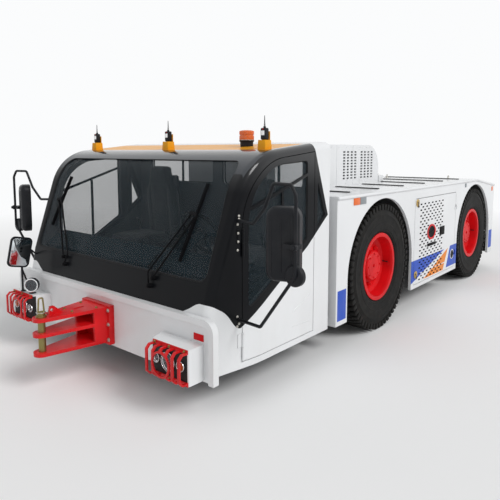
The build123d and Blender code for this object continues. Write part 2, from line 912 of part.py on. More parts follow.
nodes["seats"] = both_sides(seat(seat_y))
dash_face = side_face([(1950, 700), (2180, 700), (2180, 880), (2110, 940), (1950, 1000)])
dash = across(fillet(dash_face.vertices().group_by(Axis.X)[0].sort_by(Axis.Z)[-1], 40),
              -1050, 1050)
dash_foot = block(2000, 2150, -1000, 1000, cab_floor_top_z, 700)
column = bent_rod([(1990, seat_y, 960), (1900, seat_y, 1040), (1800, seat_y, 1090)], 40, 28)
spoke = 2 * hand_wheel_radius - 4
hand_wheel = (Torus(hand_wheel_radius, 14) + Box(30, spoke, 12) + Box(spoke, 30, 12)
              + Cylinder(52, 26))
hand_wheel = Pos(1795, seat_y, 1093) * (Rot(0, -60, 0) * hand_wheel)
nodes["dashboard"] = dash + dash_foot + column + hand_wheel


# Front plate with its raised lip

def plate_outline(inset, thickness):
    half = plate_half_width - inset
    top = plate_top_z - inset
    face = Plane.YZ * make_face(Polyline((-half, ground_clearance), (half, ground_clearance),
                                         (half, top), (-half, top), close=True))
    corners = face.vertices().group_by(Axis.Z)[-1]
    return extrude(fillet(corners, plate_corner - inset), amount=thickness)


front_plate = Pos(cab_nose_x, 0, 0) * plate_outline(0, plate_thickness)
recess = Pos(cab_nose_x + plate_thickness - plate_recess, 0, 0) * plate_outline(
    plate_lip, plate_thickness)
low_recess = block(cab_nose_x + plate_thickness - plate_recess, cab_nose_x + 100,
                   -plate_half_width + plate_lip, plate_half_width - plate_lip,
                   0, ground_clearance + 100)
nodes["front_plate"] = front_plate - recess - low_recess
plate_face_x = cab_nose_x + plate_thickness - plate_recess


# Lamp boxes, lamps and their guards

lamp_face_x = plate_face_x + lamp_box_depth
lamp_z = (lamp_box_low_z + lamp_box_top_z) / 2


def lamp_box():
    inner = lamp_box_centre_y - lamp_box_width / 2
    outer = lamp_box_centre_y + lamp_box_width / 2
    face = make_face(Polyline((plate_face_x, inner), (plate_face_x, outer),
                              (lamp_face_x, outer), (lamp_face_x, inner + 50), close=True))
    face = fillet(face.vertices().group_by(Axis.X)[-1], 12)
    return upright(face, lamp_box_low_z, lamp_box_top_z)


def lamp_lens(y, radius):
    body = Pos(lamp_face_x + 8, y, lamp_z) * Cylinder(radius, 16, rotation=(0, 90, 0))
    rim_edges = body.edges().sort_by(Axis.X)[-1:]
    return fillet(rim_edges, 7)


def lamp_set():
    return joined([lamp_lens(lamp_box_centre_y + 12, lamp_radius),
                   lamp_lens(lamp_box_centre_y + 130, 36),
                   lamp_lens(lamp_box_centre_y - 104, 34)])


def guard_outline():
    """Side view of one bar: out from the top flange, down the front and back."""
    front = lamp_face_x + guard_standoff
    low = lamp_box_low_z + 16
    top = lamp_box_top_z - 16
    chamfer = guard_chamfer
    depth = guard_bar_depth
    return side_face([
        (lamp_face_x, top), (front - chamfer, top), (front, top - chamfer),
        (front, low + chamfer), (front - chamfer, low), (lamp_face_x, low),
        (lamp_face_x, low + depth), (front - chamfer - 4, low + depth),
        (front - depth, low + chamfer + 4), (front - depth, top - chamfer - 4),
        (front - chamfer - 4, top - depth), (lamp_face_x, top - depth),
    ])


def lamp_guard():
    """Folded bars between two bolted flanges, with a ring in front of the main lamp."""
    first = lamp_box_centre_y - lamp_box_width / 2 + 75
    last = lamp_box_centre_y + lamp_box_width / 2 - guard_bar_width / 2 - 4
    places = [first + (last - first) * index / (guard_bars - 1) for index in range(guard_bars)]
    half = guard_bar_width / 2
    bars = joined([across(guard_outline(), y - half, y + half) for y in places])
    front = lamp_face_x + guard_standoff
    middle = Pos(front - guard_bar_depth / 2, lamp_box_centre_y + 12, lamp_z)
    bore = middle * Cylinder(guard_ring_radius - 14, 3 * guard_bar_depth, rotation=(0, 90, 0))
    ring = middle * Cylinder(guard_ring_radius, guard_bar_depth, rotation=(0, 90, 0))
    flanges = [block(lamp_face_x, lamp_face_x + 7, first - half, last + half, z,
                     z + guard_flange_height)
               for z in (lamp_box_low_z, lamp_box_top_z - guard_flange_height)]
    return joined([bars + ring - bore] + flanges)


nodes["lamp_boxes"] = both_sides(lamp_box())
nodes["headlamps"] = both_sides(lamp_set())
nodes["lamp_guards"] = both_sides(lamp_guard())


# Hitches: three tapered jaw plates on a bolted mount, with a lifting pin

def jaw_face(reach, inset):
    nose = Pos(reach, 0) * Circle(hitch_nose_radius - inset)
    root = Pos(0.5, 0) * Rectangle(1, 2 * (hitch_root_half_width - inset))
    return make_hull(nose.edges() + root.edges())


def hitch_solid(reach):
    mount_low = hitch_plate_tops[0] - hitch_plate_thickness - 15
    top = hitch_plate_tops[-1]
    parts = [block(-hitch_mount_thickness, 0, -hitch_mount_half_width, hitch_mount_half_width,
                   mount_low, top + 10)]
    for plate_top in hitch_plate_tops:
        parts.append(upright(jaw_face(reach, 0), plate_top - hitch_plate_thickness, plate_top))
    web_low = hitch_plate_tops[0]
    web = (upright(jaw_face(reach, 0), web_low, top)
           - upright(jaw_face(reach, hitch_web_thickness), web_low, top))
    parts.append(web & block(0, hitch_web_length, -500, 500, web_low, top))
    lug = side_face([(reach - lug_rear, top), (reach - lug_front, top),
                     (reach - lug_eye_back + 12, top + lug_height),
                     (reach - lug_eye_back - 16, top + lug_height)])
    parts.append(across(lug, -lug_thickness / 2, lug_thickness / 2))
    bore = z_rod(hitch_pin_radius + 0.5, 0, 1000, reach, 0)
    slot = upright(Pos(140, 0) * SlotOverall(80, 28), top - hitch_plate_thickness - 5, top + 5)
    eye = y_rod(lug_eye_radius, -100, 100, reach - lug_eye_back, top + lug_eye_height)
    return joined(parts) - bore - slot - eye


def hitch_pin(reach):
    """The pin, its collar and washer, and a tall ring to lift it by."""
    top = hitch_plate_tops[-1]
    pin = z_rod(hitch_pin_radius, hitch_pin_low_z, top + 34, reach, 0)
    pin = chamfer(pin.faces().sort_by(Axis.Z)[0].edges(), 6)
    collar = z_rod(hitch_collar_radius, top + 0.3, top + 14, reach, 0)
    half = hitch_ring_width / 2
    low = hitch_ring_low_z
    high = low + hitch_ring_height
    stem = z_rod(12, top + 30, low + hitch_ring_rod, reach, 0)
    side = bent_rod([(0, 0, low), (half, 0, low), (half - 8, 0, high), (0, 0, high)],
                    10, hitch_ring_rod)
    loop = Pos(reach, 0, 0) * (side + mirror(side, about=Plane.YZ))
    return joined([pin, collar, stem, loop])


front_mount_x = plate_face_x + hitch_mount_thickness
rear_mount_x = body_rear_x - hitch_mount_thickness
nodes["front_hitch"] = Pos(front_mount_x, 0, 0) * hitch_solid(front_hitch_reach)
nodes["front_hitch_pin"] = Pos(front_mount_x, 0, 0) * hitch_pin(front_hitch_reach)
turn_back = Pos(rear_mount_x, 0, 0) * Rot(0, 0, 180)
nodes["rear_hitch"] = turn_back * hitch_solid(rear_hitch_reach)
nodes["rear_hitch_pin"] = turn_back * hitch_pin(rear_hitch_reach)


# Mirrors and roof fittings

def mirror_x(y):
    """The tube leans forward from the cab outwards."""
    return mirror_foot_x + (y - mirror_foot_y) * mirror_sweep


def mirror_loop():
    route = [(1160, 1270), (1340, 1262), (1450, 1375), (1530, 1530), (1680, 1530),
             (1720, 1470), (1720, 990), (1410, 600), (1160, 590)]
    points = [(mirror_x(y), y, z) for y, z in route]
    return bent_rod(points, 30, mirror_tube_radius)


def mirror_head():
    """The main glass housing, turned towards the driver's seat."""
    head = Box(mirror_thickness, mirror_width, mirror_height)
    head = fillet(head.edges().filter_by(Axis.X), mirror_width * 0.3)
    head = fillet(head.faces().sort_by(Axis.X)[-1].edges(), mirror_thickness * 0.45)
    return Pos(mirror_x(mirror_y) - 20, mirror_y, mirror_z) * (Rot(0, 0, mirror_turn) * head)


def round_mirror():
    x = mirror_x(round_mirror_y) - 20
    disc = Pos(x, round_mirror_y, round_mirror_z) * Cylinder(round_mirror_radius, 40,
                                                             rotation=(0, 90, 0))
    return fillet(disc.edges().sort_by(Axis.X)[-1:], 16)


def mirror_clamp(z):
    x = mirror_x(1720)
    return block(x - 45, x + 14, 1640, 1734, z - 14, z + 14)


one_mirror = joined([mirror_loop(), mirror_head(), round_mirror(), mirror_clamp(mirror_z)])
nodes["mirrors"] = both_sides(one_mirror - outer_cab)


def corner_mirror():
    """A flat mirror over the right lamp box, on two legs and a stay to the cab's nose."""
    width, height, thickness = corner_mirror_size
    glass = Box(width, thickness, height)
    glass = fillet(glass.edges().filter_by(Axis.Y), 42)
    glass = fillet(glass.faces().sort_by(Axis.Y)[0].edges(), 9)
    glass = Pos(corner_mirror_x, corner_mirror_y, corner_mirror_z) * (
        Rot(0, -corner_mirror_lean, 0) * glass)
    back_y = corner_mirror_y - thickness / 2 - 8
    post = bent_rod([(2444, back_y, lamp_box_top_z), (2444, back_y, 700),
                     (2425, back_y, 925)], 60, 9)
    foot = z_rod(24, lamp_box_top_z, lamp_box_top_z + 7, 2436, back_y)
    leg = bent_rod([(2445, back_y, 695), (2368, back_y, lamp_box_top_z - 20)], 0, 7)
    leg = leg - block(2300, 2460, back_y - 50, back_y + 50, 0, lamp_box_top_z)
    stay = bent_rod([(2425, back_y, 920), (2240, -1105, 765)], 0, 7)
    return joined([glass, post, foot, leg, stay - outer_cab])


def work_lamp():
    body = Cylinder(work_lamp_radius, 52, rotation=(0, 90, 0))
    body = fillet(body.edges().sort_by(Axis.X)[:1], 22)
    body = Pos(work_lamp_x, work_lamp_y, work_lamp_z) * (Rot(0, 0, 40) * body)
    stem = z_rod(12, lamp_box_top_z, lamp_box_top_z + 24, work_lamp_x, work_lamp_y)
    foot = z_rod(28, lamp_box_top_z, lamp_box_top_z + 6, work_lamp_x, work_lamp_y)
    return joined([body, stem, foot])


nodes["corner_mirror"] = corner_mirror()
nodes["work_lamp"] = work_lamp()


def aerial(y):
    """A tapered foot, a pod on it and the whip."""
    low = cab_height - 100
    foot = Pos(aerial_x, y, low) * extrude(Rectangle(112, 104),
                                           amount=aerial_foot_top_z - low, taper=8)
    pod_top = aerial_foot_top_z + aerial_pod_height
    pod = block(aerial_x - 22, aerial_x + 22, y - 25, y + 25, aerial_foot_top_z, pod_top)
    pod = fillet(pod.faces().sort_by(Axis.Z)[-1].edges(), 14)
    whip = z_rod(5, pod_top - 5, aerial_top_z, aerial_x, y)
    return joined([foot, pod, whip])


nodes["aerials"] = aerial(0) + both_sides(aerial(aerial_y)) - outer_cab
beacon_base = z_rod(48, cab_height - 60, cab_height, beacon_x, beacon_y) - outer_cab
nodes["beacon"] = beacon_base + z_rod(57, cab_height, cab_height + 95, beacon_x, beacon_y)


# Wipers: two arms on each pivot pair, carrying a blade that lies on the glass

screen_run = windscreen_base_x - brow_x
screen_rise = brow_z - windscreen_base_z
screen_length = (screen_run ** 2 + screen_rise ** 2) ** 0.5


def over_glass(y, z, lift):
    """A point above the windscreen's outer face at the given height."""
    x = windscreen_base_x - (z - windscreen_base_z) * screen_run / screen_rise
    out = (lift - glass_inset) / screen_length
    return (x + out * screen_rise, y, z + out * screen_run)


def cowl_plane(y, z):
    run = cab_nose_x - windscreen_base_x
    rise = windscreen_base_z - cowl_z
    x = cab_nose_x - (z - cowl_z) * run / rise
    return Plane(origin=(x, y, z), x_dir=(0, 1, 0), z_dir=(rise, 0, run))


def screen_bar(start, end, low, high, width, extra):
    """A flat bar over the glass from start to end, extra longer at both ends."""
    first = Vector(*over_glass(*start, 0))
    last = Vector(*over_glass(*end, 0))
    along = last - first
    frame = Plane(origin=(first + last) * 0.5, x_dir=along, z_dir=(screen_rise, 0, screen_run))
    return frame * (Pos(0, 0, (low + high) / 2)
                    * Box(along.length + 2 * extra, width, high - low))


def wiper(way, tips, blade):
    """One side's wiper; way is 1 on the left. The bent arm's places come first."""
    long_tip, short_tip = tips
    long_foot, knee, short_foot = ((way * y, z) for y, z in wiper_feet)
    parts = [cowl_plane(*foot) * (Pos(0, 0, 16) * Cylinder(17, 32))
             for foot in (long_foot, short_foot)]
    long_start, short_start = ((cowl_plane(*foot) * Pos(0, 0, 24)).position
                               for foot in (long_foot, short_foot))
    parts.append(bent_rod([tuple(long_start), over_glass(*knee, 36), over_glass(*long_tip, 28)],
                          25, wiper_arm_radius))
    parts.append(bent_rod([tuple(short_start), over_glass(*short_tip, 28)],
                          0, wiper_arm_radius))
    parts.append(screen_bar(long_tip, short_tip, 17, 39, 24, 12))
    parts.append(screen_bar(*blade, 0.3, 0.3 + wiper_blade_height, wiper_blade_width, 0))
    return joined(parts)


nodes["wipers"] = (wiper(1, wiper_tips[0], wiper_blades[0])
                   + wiper(-1, wiper_tips[1], wiper_blades[1]))


origin_x = (front_mount_x + front_hitch_reach + hitch_nose_radius
            + rear_mount_x - rear_hitch_reach - hitch_nose_radius) / 2

os.makedirs("parts", exist_ok=True)
for node_name, shape in nodes.items():
    export_step(Pos(-origin_x, 0, 0) * shape, "parts/" + node_name + ".step")
    print(node_name, len(shape.solids()), round(shape.volume / 1e6, 1))
print("origin at", origin_x, "from the front axle")
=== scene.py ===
# %% [markdown]
# # An aircraft pushback tractor
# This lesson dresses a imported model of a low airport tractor: a wide front cab with a
# black glazed nose, four big steered wheels, a flat white deck and a red pin hitch.
# The solids come in as a fixed frame. Everything that is added here takes its place
# from them, so nothing has to be fitted by hand afterwards.

# %% Load the solids and find the landmarks
import math

import bmesh
import bpy
from mathutils import Matrix, Vector
from mathutils.bvhtree import BVHTree


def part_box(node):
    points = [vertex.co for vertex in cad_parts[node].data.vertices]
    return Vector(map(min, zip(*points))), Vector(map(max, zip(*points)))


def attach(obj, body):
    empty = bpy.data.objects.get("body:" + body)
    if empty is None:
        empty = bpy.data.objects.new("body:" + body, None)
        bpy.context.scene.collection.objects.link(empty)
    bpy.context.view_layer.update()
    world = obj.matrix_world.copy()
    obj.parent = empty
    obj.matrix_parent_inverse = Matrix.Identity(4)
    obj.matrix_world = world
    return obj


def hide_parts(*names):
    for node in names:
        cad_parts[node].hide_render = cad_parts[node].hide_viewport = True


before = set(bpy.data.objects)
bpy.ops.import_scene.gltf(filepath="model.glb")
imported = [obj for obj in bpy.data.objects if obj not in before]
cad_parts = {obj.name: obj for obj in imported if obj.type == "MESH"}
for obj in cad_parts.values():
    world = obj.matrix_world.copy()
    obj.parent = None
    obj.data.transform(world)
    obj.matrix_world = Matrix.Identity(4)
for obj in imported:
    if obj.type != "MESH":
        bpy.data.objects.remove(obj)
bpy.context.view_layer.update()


def middle(node):
    low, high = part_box(node)
    return (low + high) / 2


axle_x = {"front": middle("tyre_front_left").x, "rear": middle("tyre_rear_left").x}
wheel_y = middle("tyre_front_left").y
wheel_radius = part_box("tyre_front_left")[1].z / 2
deck_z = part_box("deck")[1].z
SIDES = (("left", 1), ("right", -1))


def at(ahead, left, up):
    """A point given from the front axle: metres ahead, to the left and up."""
    return Vector((axle_x["front"] + ahead, left, up))


# %% [markdown]
# ## The camera
# The photograph was taken at eye level from the front left. Its station point was solved
# from the tyres and the body edges. The frame is lowered a little with a shift, as a
# cropped photograph has its horizon off the middle, and that keeps upright edges upright.

# %% Camera
eye = at(4.614, 3.458, 1.726)
yaw = math.radians(40.099)
pitch = math.radians(5.881)
looking = Vector((-math.cos(yaw) * math.cos(pitch), -math.sin(yaw) * math.cos(pitch),
                  -math.sin(pitch)))
camera_data = bpy.data.cameras.new("camera")
camera_data.lens = 37.58
camera_data.sensor_width = 36
camera_data.shift_y = -0.0903
camera = bpy.data.objects.new("camera", camera_data)
camera.location = eye
camera.rotation_euler = looking.to_track_quat("-Z", "Y").to_euler()
bpy.context.scene.collection.objects.link(camera)
bpy.context.scene.camera = camera
bpy.context.scene.view_settings.view_transform = "Standard"

# %% [markdown]
# ## Shader sums
# A material is a net of nodes. Wiring Math nodes by hand is slow to read, so one small
# class stands for a socket and turns plain sums into nodes: `1 - mask` adds a Subtract
# node. Every other node comes from one method that takes its type, settings and inputs.


# %% A socket that takes part in sums, and a finish that makes nodes
class Wire:
    def __init__(self, finish, socket):
        self.finish = finish
        self.socket = socket

    def sum(self, operation, other, turned=False):
        pair = (other, self) if turned else (self, other)
        return self.finish.node("Math", {"operation": operation}, {0: pair[0], 1: pair[1]})

    def __add__(self, other):
        return self.sum("ADD", other)

    def __sub__(self, other):
        return self.sum("SUBTRACT", other)

    def __rsub__(self, other):
        return self.sum("SUBTRACT", other, True)

    def __mul__(self, other):
        return self.sum("MULTIPLY", other)

    def __truediv__(self, other):
        return self.sum("DIVIDE", other)

    def __pow__(self, other):
        return self.sum("POWER", other)

    __radd__ = __add__
    __rmul__ = __mul__

    def least(self, other):
        return self.sum("MINIMUM", other)

    def most(self, other):
        return self.sum("MAXIMUM", other)

    def size(self):
        return self.finish.node("Math", {"operation": "ABSOLUTE"}, {0: self})

    def wave(self):
        return self.finish.node("Math", {"operation": "SINE"}, {0: self})

    def step(self, width):
        """0 below zero and 1 above it, with a soft edge of the given width."""
        return self.finish.node("Clamp", {}, {0: self / width + 0.5})

    def ramp(self, low, high):
        """0 at low and 1 at high, and straight in between."""
        settings = {"clamp": True}
        return self.finish.node("MapRange", settings, {0: self, 1: low, 2: high})


class Finish:
    """One material: its nodes, and where a point lies on the object."""

    def __init__(self, name):
        self.material = bpy.data.materials.new(name)
        self.material.use_nodes = True
        self.tree = self.material.node_tree
        self.tree.nodes.clear()
        self.place = self.node("TexCoord", {}, {}, "Object")

    def node(self, kind, settings, inputs, output=0):
        made = self.tree.nodes.new("ShaderNode" + kind)
        for name, value in settings.items():
            if name == "stops":
                for index, (spot, colour) in enumerate(value):
                    if index > 1:
                        made.color_ramp.elements.new(spot)
                    made.color_ramp.elements[index].position = spot
                    made.color_ramp.elements[index].color = colour
            else:
                setattr(made, name, value)
        for name, value in inputs.items():
            if isinstance(value, Wire):
                self.tree.links.new(value.socket, made.inputs[name])
            else:
                made.inputs[name].default_value = value
        return Wire(self, made.outputs[output]) if output is not None else None

    def xyz(self):
        """The three coordinates of a point on the object."""
        split = self.node("SeparateXYZ", {}, {0: self.place}).socket.node
        return [Wire(self, split.outputs[name]) for name in ("X", "Y", "Z")]

    def noise(self, scale, detail=3.0, stretch=(1, 1, 1)):
        where = self.node("Mapping", {}, {"Vector": self.place, "Scale": stretch})
        inputs = {"Vector": where, "Scale": scale, "Detail": detail}
        return self.node("TexNoise", {}, inputs, 0)

    def cells(self, scale):
        inputs = {"Vector": self.place, "Scale": scale}
        return self.node("TexVoronoi", {}, inputs, "Distance")

    def mix(self, share, first, second):
        inputs = {0: share, 6: first, 7: second}
        return self.node("Mix", {"data_type": "RGBA"}, inputs, 2)

    def edges(self, radius):
        """1 on sharp edges, 0 on flat ground, from how far a rounded normal leans."""
        rounded = self.node("Bevel", {"samples": 4}, {"Radius": radius})
        true = self.node("NewGeometry", {}, {}, "Normal")
        dot = self.node("VectorMath", {"operation": "DOT_PRODUCT"}, {0: rounded, 1: true},
                        "Value")
        return (1 - dot).ramp(0.02, 0.25)

    def surface(self, inputs, height=None, depth=0.001, rounding=0.0):
        """The finished shader. Height makes bumps; rounding softens the light on edges."""
        bend = {"Height": height, "Distance": depth, "Strength": 1.0}
        if rounding:
            soft = self.node("Bevel", {"samples": 4}, {"Radius": rounding})
            bend["Normal"] = soft
        if height is not None:
            inputs["Normal"] = self.node("Bump", {}, bend)
        elif rounding:
            inputs["Normal"] = soft
        shader = self.node("BsdfPrincipled", {}, inputs)
        self.node("OutputMaterial", {}, {"Surface": shader}, None)
        return self.material


def grey(value):
    return (value, value, value, 1)


# %% [markdown]
# ## Floor, backdrop and light
# The tractor stands in a plain pale studio. The floor keeps the soft shadow and fades out
# into the same white as the world, so there is no horizon line. One broad sun lights the
# left side and the top, and the world fills the rest at a plain level.

# %% Studio
PALE = 0.98
FILL = 0.55
TINT = (0.985, 0.993, 1.0, 1)
SUN_WAY = Vector((0.05, -0.74, -0.67))
FLOOR_RADIUS = 160
GLOW_FROM, GLOW_FULL = 5.5, 11.0
world = bpy.data.worlds.new("studio")
bpy.context.scene.world = world
world.use_nodes = True
world_nodes = world.node_tree.nodes
world_links = world.node_tree.links
background = world_nodes["Background"]
path = world_nodes.new("ShaderNodeLightPath")
seen = None
for ray in ("Is Camera Ray", "Is Glossy Ray", "Is Transmission Ray"):
    if seen is None:
        seen = path.outputs[ray]
        continue
    either = world_nodes.new("ShaderNodeMath")
    either.operation = "MAXIMUM"
    world_links.new(seen, either.inputs[0])
    world_links.new(path.outputs[ray], either.inputs[1])
    seen = either.outputs[0]
level = world_nodes.new("ShaderNodeMapRange")
level.inputs["To Min"].default_value = FILL
level.inputs["To Max"].default_value = PALE
world_links.new(seen, level.inputs["Value"])
world_links.new(level.outputs[0], background.inputs["Strength"])
background.inputs["Color"].default_value = TINT

sun_data = bpy.data.lights.new("sun", "SUN")
sun_data.energy = 1.45
sun_data.angle = math.radians(24)
sun = bpy.data.objects.new("sun", sun_data)
sun.rotation_euler = SUN_WAY.to_track_quat("-Z", "Y").to_euler()
bpy.context.scene.collection.objects.link(sun)

floor_finish = Finish("floor")
floor_x, floor_y, _ = floor_finish.xyz()
reach = (floor_x * floor_x + floor_y * floor_y) ** 0.5
ground = floor_finish.node("BsdfDiffuse", {}, {"Color": grey(0.93)})
glow = floor_finish.node("Emission", {}, {"Color": TINT, "Strength": PALE})
share = reach.ramp(GLOW_FROM, GLOW_FULL)
fading = floor_finish.node("MixShader", {}, {0: share, 1: ground, 2: glow})
floor_finish.node("OutputMaterial", {}, {"Surface": fading}, None)

floor_mesh = bmesh.new()
bmesh.ops.create_circle(floor_mesh, cap_ends=True, radius=FLOOR_RADIUS, segments=64)
floor_data = bpy.data.meshes.new("floor")
floor_mesh.to_mesh(floor_data)
floor_mesh.free()
floor = bpy.data.objects.new("floor", floor_data)
floor_data.materials.append(floor_finish.material)
bpy.context.scene.collection.objects.link(floor)
print("studio ready")

# %% [markdown]
# ## White body paint
# The body is sheet steel with a thick gloss white coat. A flat white looks like plastic,
# so the coat gets an orange-peel ripple, a faint change of tone and a film of dust low
# down. Inside the cab the same steel is lined in dark grey, and a mask that follows the
# cab's walls half way through their thickness tells inside from outside. It is the least
# of the distances from a few planes, which needs no unwrapping and no painted map.

# %% Colours, and the planes that bound the cab
WHITE = (0.80, 0.81, 0.82, 1)
BLUE = (0.014, 0.078, 0.50, 1)
ORANGE = (0.80, 0.235, 0.012, 1)
LINING = (0.055, 0.06, 0.068, 1)
DUST = (0.52, 0.50, 0.46, 1)
cab_low, cab_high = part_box("cab_shell")
wall_middle = 0.025
SCREEN_FOOT = at(2.258, 0, 0.840)
SCREEN_HEAD = at(1.943, 0, 1.706)
screen_along = (SCREEN_HEAD - SCREEN_FOOT).normalized()
screen_out = Vector((screen_along.z, 0, -screen_along.x))
DECK_OVERHANG = 0.010
SKIN = 0.0025
panel_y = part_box("deck")[1].y - DECK_OVERHANG
taper_from = at(1.88, 0, 0).x
taper = 0.070 / 0.420
roof_fall = 0.094 / 0.903
roof_end_x = at(1.04, 0, 0).x


def inside_cab(finish):
    """1 on what faces the crew and 0 on what the weather reaches."""
    x, y, z = finish.xyz()
    narrowing = (x - taper_from).most(0) * taper
    side = cab_high.y - wall_middle - narrowing - y.size()
    ends = (x - cab_low.x - wall_middle).least(cab_high.x - wall_middle - x)
    roof = cab_high.z - wall_middle - (x - roof_end_x).most(0) * roof_fall - z
    screen = (SCREEN_FOOT.x - x) * screen_out.x + (SCREEN_FOOT.z - z) * screen_out.z
    return side.least(ends).least(roof).least(screen - wall_middle).step(0.004)


# %% [markdown]
# ## Gloss paint with stripes
# The bands of colour run over the side panels and the doors between them, so they can't
# belong to one sheet. They are outlines on the side plane instead: a point takes a band's
# colour where it lies inside all of the outline's sides, and only on the outer skin. The
# doors are a perforated skin whose inner faces are painted near black as painted shade, so
# the holes read dark, and the black nose gets glossier towards the bend over the
# windscreen. Both are settings of the same paint.


# %% Gloss paint
def area(x, z, corners):
    """1 inside a convex outline of (ahead, up) corners, in either order."""
    inside = None
    sides = list(zip(corners, corners[1:] + corners[:1]))
    turn = sum(x0 * z1 - x1 * z0 for (x0, z0), (x1, z1) in sides)
    for (x0, z0), (x1, z1) in sides:
        length = math.copysign(math.hypot(x1 - x0, z1 - z0), turn)
        across_x, across_z = (z0 - z1) / length, (x1 - x0) / length
        from_line = (x - x0) * across_x + (z - z0) * across_z
        inside = from_line if inside is None else inside.least(from_line)
    return inside.step(0.002)


def painted(name, colour, areas=(), lined=False, dusty=0.22, mirror_like=0.5, shiny_from=None,
            foam=None):
    """Gloss paint. areas is a list of (colour, corners) for stripes on the outer side, and
    foam the corners of the part whose inner faces are painted near black as painted shade."""
    finish = Finish(name)
    x, y, z = finish.xyz()
    tone = finish.noise(1.3, 2)
    shade = tuple(c * 0.93 for c in colour[:3]) + (1,)
    coat = finish.mix(tone.ramp(0.35, 0.75), colour, shade)
    for stripe_colour, corners in areas:
        ahead = x - axle_x["front"]
        outside = (y.size() - panel_y + 0.002).step(0.001)
        coat = finish.mix(area(ahead, z, corners) * outside, coat, stripe_colour)
    if foam:
        # Painted shade: behind the perforated skin the inner faces are coloured near black, so the
        # holes read dark.
        behind = (panel_y - SKIN - y.size()).step(0.001)
        coat = finish.mix(area(x - axle_x["front"], z, foam) * behind, coat, grey(0.014))
    low_down = (0.75 - z).ramp(0.0, 0.55) * finish.noise(6, 5, (1, 1, 0.35)).ramp(0.38, 0.8)
    coat = finish.mix(low_down * dusty, coat, DUST)
    rough = 0.30 + low_down * 0.3 + finish.noise(9, 4) * 0.06
    if lined:
        inner = inside_cab(finish)
        coat = finish.mix(inner, coat, LINING)
        rough = rough + inner * 0.35
    peel = finish.noise(420, 1) * 0.25 + finish.noise(3.2, 1) * 2.0
    inputs = {"Base Color": coat, "Roughness": rough, "Coat Weight": 0.7 * mirror_like,
              "Coat Roughness": 0.06, "IOR": 1.5, "Specular IOR Level": mirror_like}
    if shiny_from is not None:
        inputs["Coat Weight"] = (z - shiny_from).ramp(0, 0.25) * 0.9 + 0.05
    return finish.surface(inputs, peel, 0.0006, 0.004)


# %% [markdown]
# ## Where the stripes lie, and the lamp boxes
# The corners of the bands are read off the side plane in metres from the front axle. The
# lamp boxes are white outside, and the recess behind each guard is painted near black as
# painted shade, so the silvered lamps stand out in it.


# %% Stripes, lamp boxes and the painted finishes
def stripe_areas():
    """The blue and orange bands low on the sides, in metres from the front axle."""
    band_low, band_high = 0.300, 0.550
    split_low, split_high = 0.380, 0.390
    return [
        (BLUE, [(-0.67, band_low), (-0.67, band_high), (-1.65, band_high)]),
        (ORANGE, [(-1.02, band_low), (-1.62, band_low), (-1.77, band_high)]),
        (WHITE, [(-0.9, split_low), (-1.9, split_low), (-1.9, split_high), (-0.9, split_high)]),
        (BLUE, [(-1.72, band_low + 0.01), (-2.20, band_low + 0.01),
                (-2.20, band_high + 0.015), (-1.84, band_high + 0.015)]),
        (BLUE, [(0.846, 0.28), (0.70, 0.28), (0.70, 0.545), (0.846, 0.545)]),
        (BLUE, [(-3.45, 0.31), (-3.60, 0.31), (-3.60, 0.57), (-3.45, 0.57)]),
    ]


def lamp_box_paint():
    """White outside, and painted shade in the recess behind the guard, which is coloured black."""
    finish = Finish("box_white")
    x, y, z = finish.xyz()
    low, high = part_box("lamp_boxes")
    centre_y, half_wide, wall = 0.943, 0.188, 0.010
    # Painted shade: the recess behind the guard is coloured near black, and its coat is taken off
    # there.
    rim = (half_wide - (y.size() - centre_y).size()).least(z - low.z - wall)
    shaded_recess = rim.least(high.z - wall - z).least(x - at(2.440, 0, 0).x).step(0.002)
    peel = finish.noise(420, 1)
    coat = finish.mix(finish.noise(1.3, 2).ramp(0.35, 0.75), WHITE, grey(0.74))
    inputs = {"Base Color": finish.mix(shaded_recess, coat, grey(0.012)),
              "Roughness": 0.30 + shaded_recess * 0.3, "Coat Weight": (1 - shaded_recess) * 0.3,
              "Coat Roughness": 0.06, "Specular IOR Level": 0.3}
    return finish.surface(inputs, peel, 0.0003, 0.004)


white_paint = painted("white_paint", WHITE)
box_white = lamp_box_paint()
lined_white = painted("lined_white", WHITE, lined=True)
striped_white = painted("striped_white", WHITE, stripe_areas(), mirror_like=0.12)
# Painted shade: inside this outline the inner faces of the service doors are coloured near black.
HOLE_SHADE_AREA = [(-0.82, 0.30), (-0.82, 1.19), (-1.61, 1.19), (-1.61, 0.30)]
door_white = painted("door_white", WHITE, stripe_areas(), mirror_like=0.12, foam=HOLE_SHADE_AREA)
roof_yellow = painted("roof_yellow", (0.84, 0.37, 0.015, 1), lined=True, mirror_like=0.10)
nose_black = painted("nose_black", (0.006, 0.0065, 0.008, 1), lined=True, dusty=0.05,
                     mirror_like=0.08, shiny_from=1.45)
print("paints ready")

# %% [markdown]
# ## Red paint, chassis black, rubber and glass
# The hitch and the lamp guards are brushed with red gloss paint that chips on its edges
# down to grey steel. A Bevel node tells where the edges are. The tinted glass is a thin
# see-through film of colour with a faint gloss, which an exported model can carry too. The
# dashboard is kept close to the glass in tone, so that it looks calm behind it.


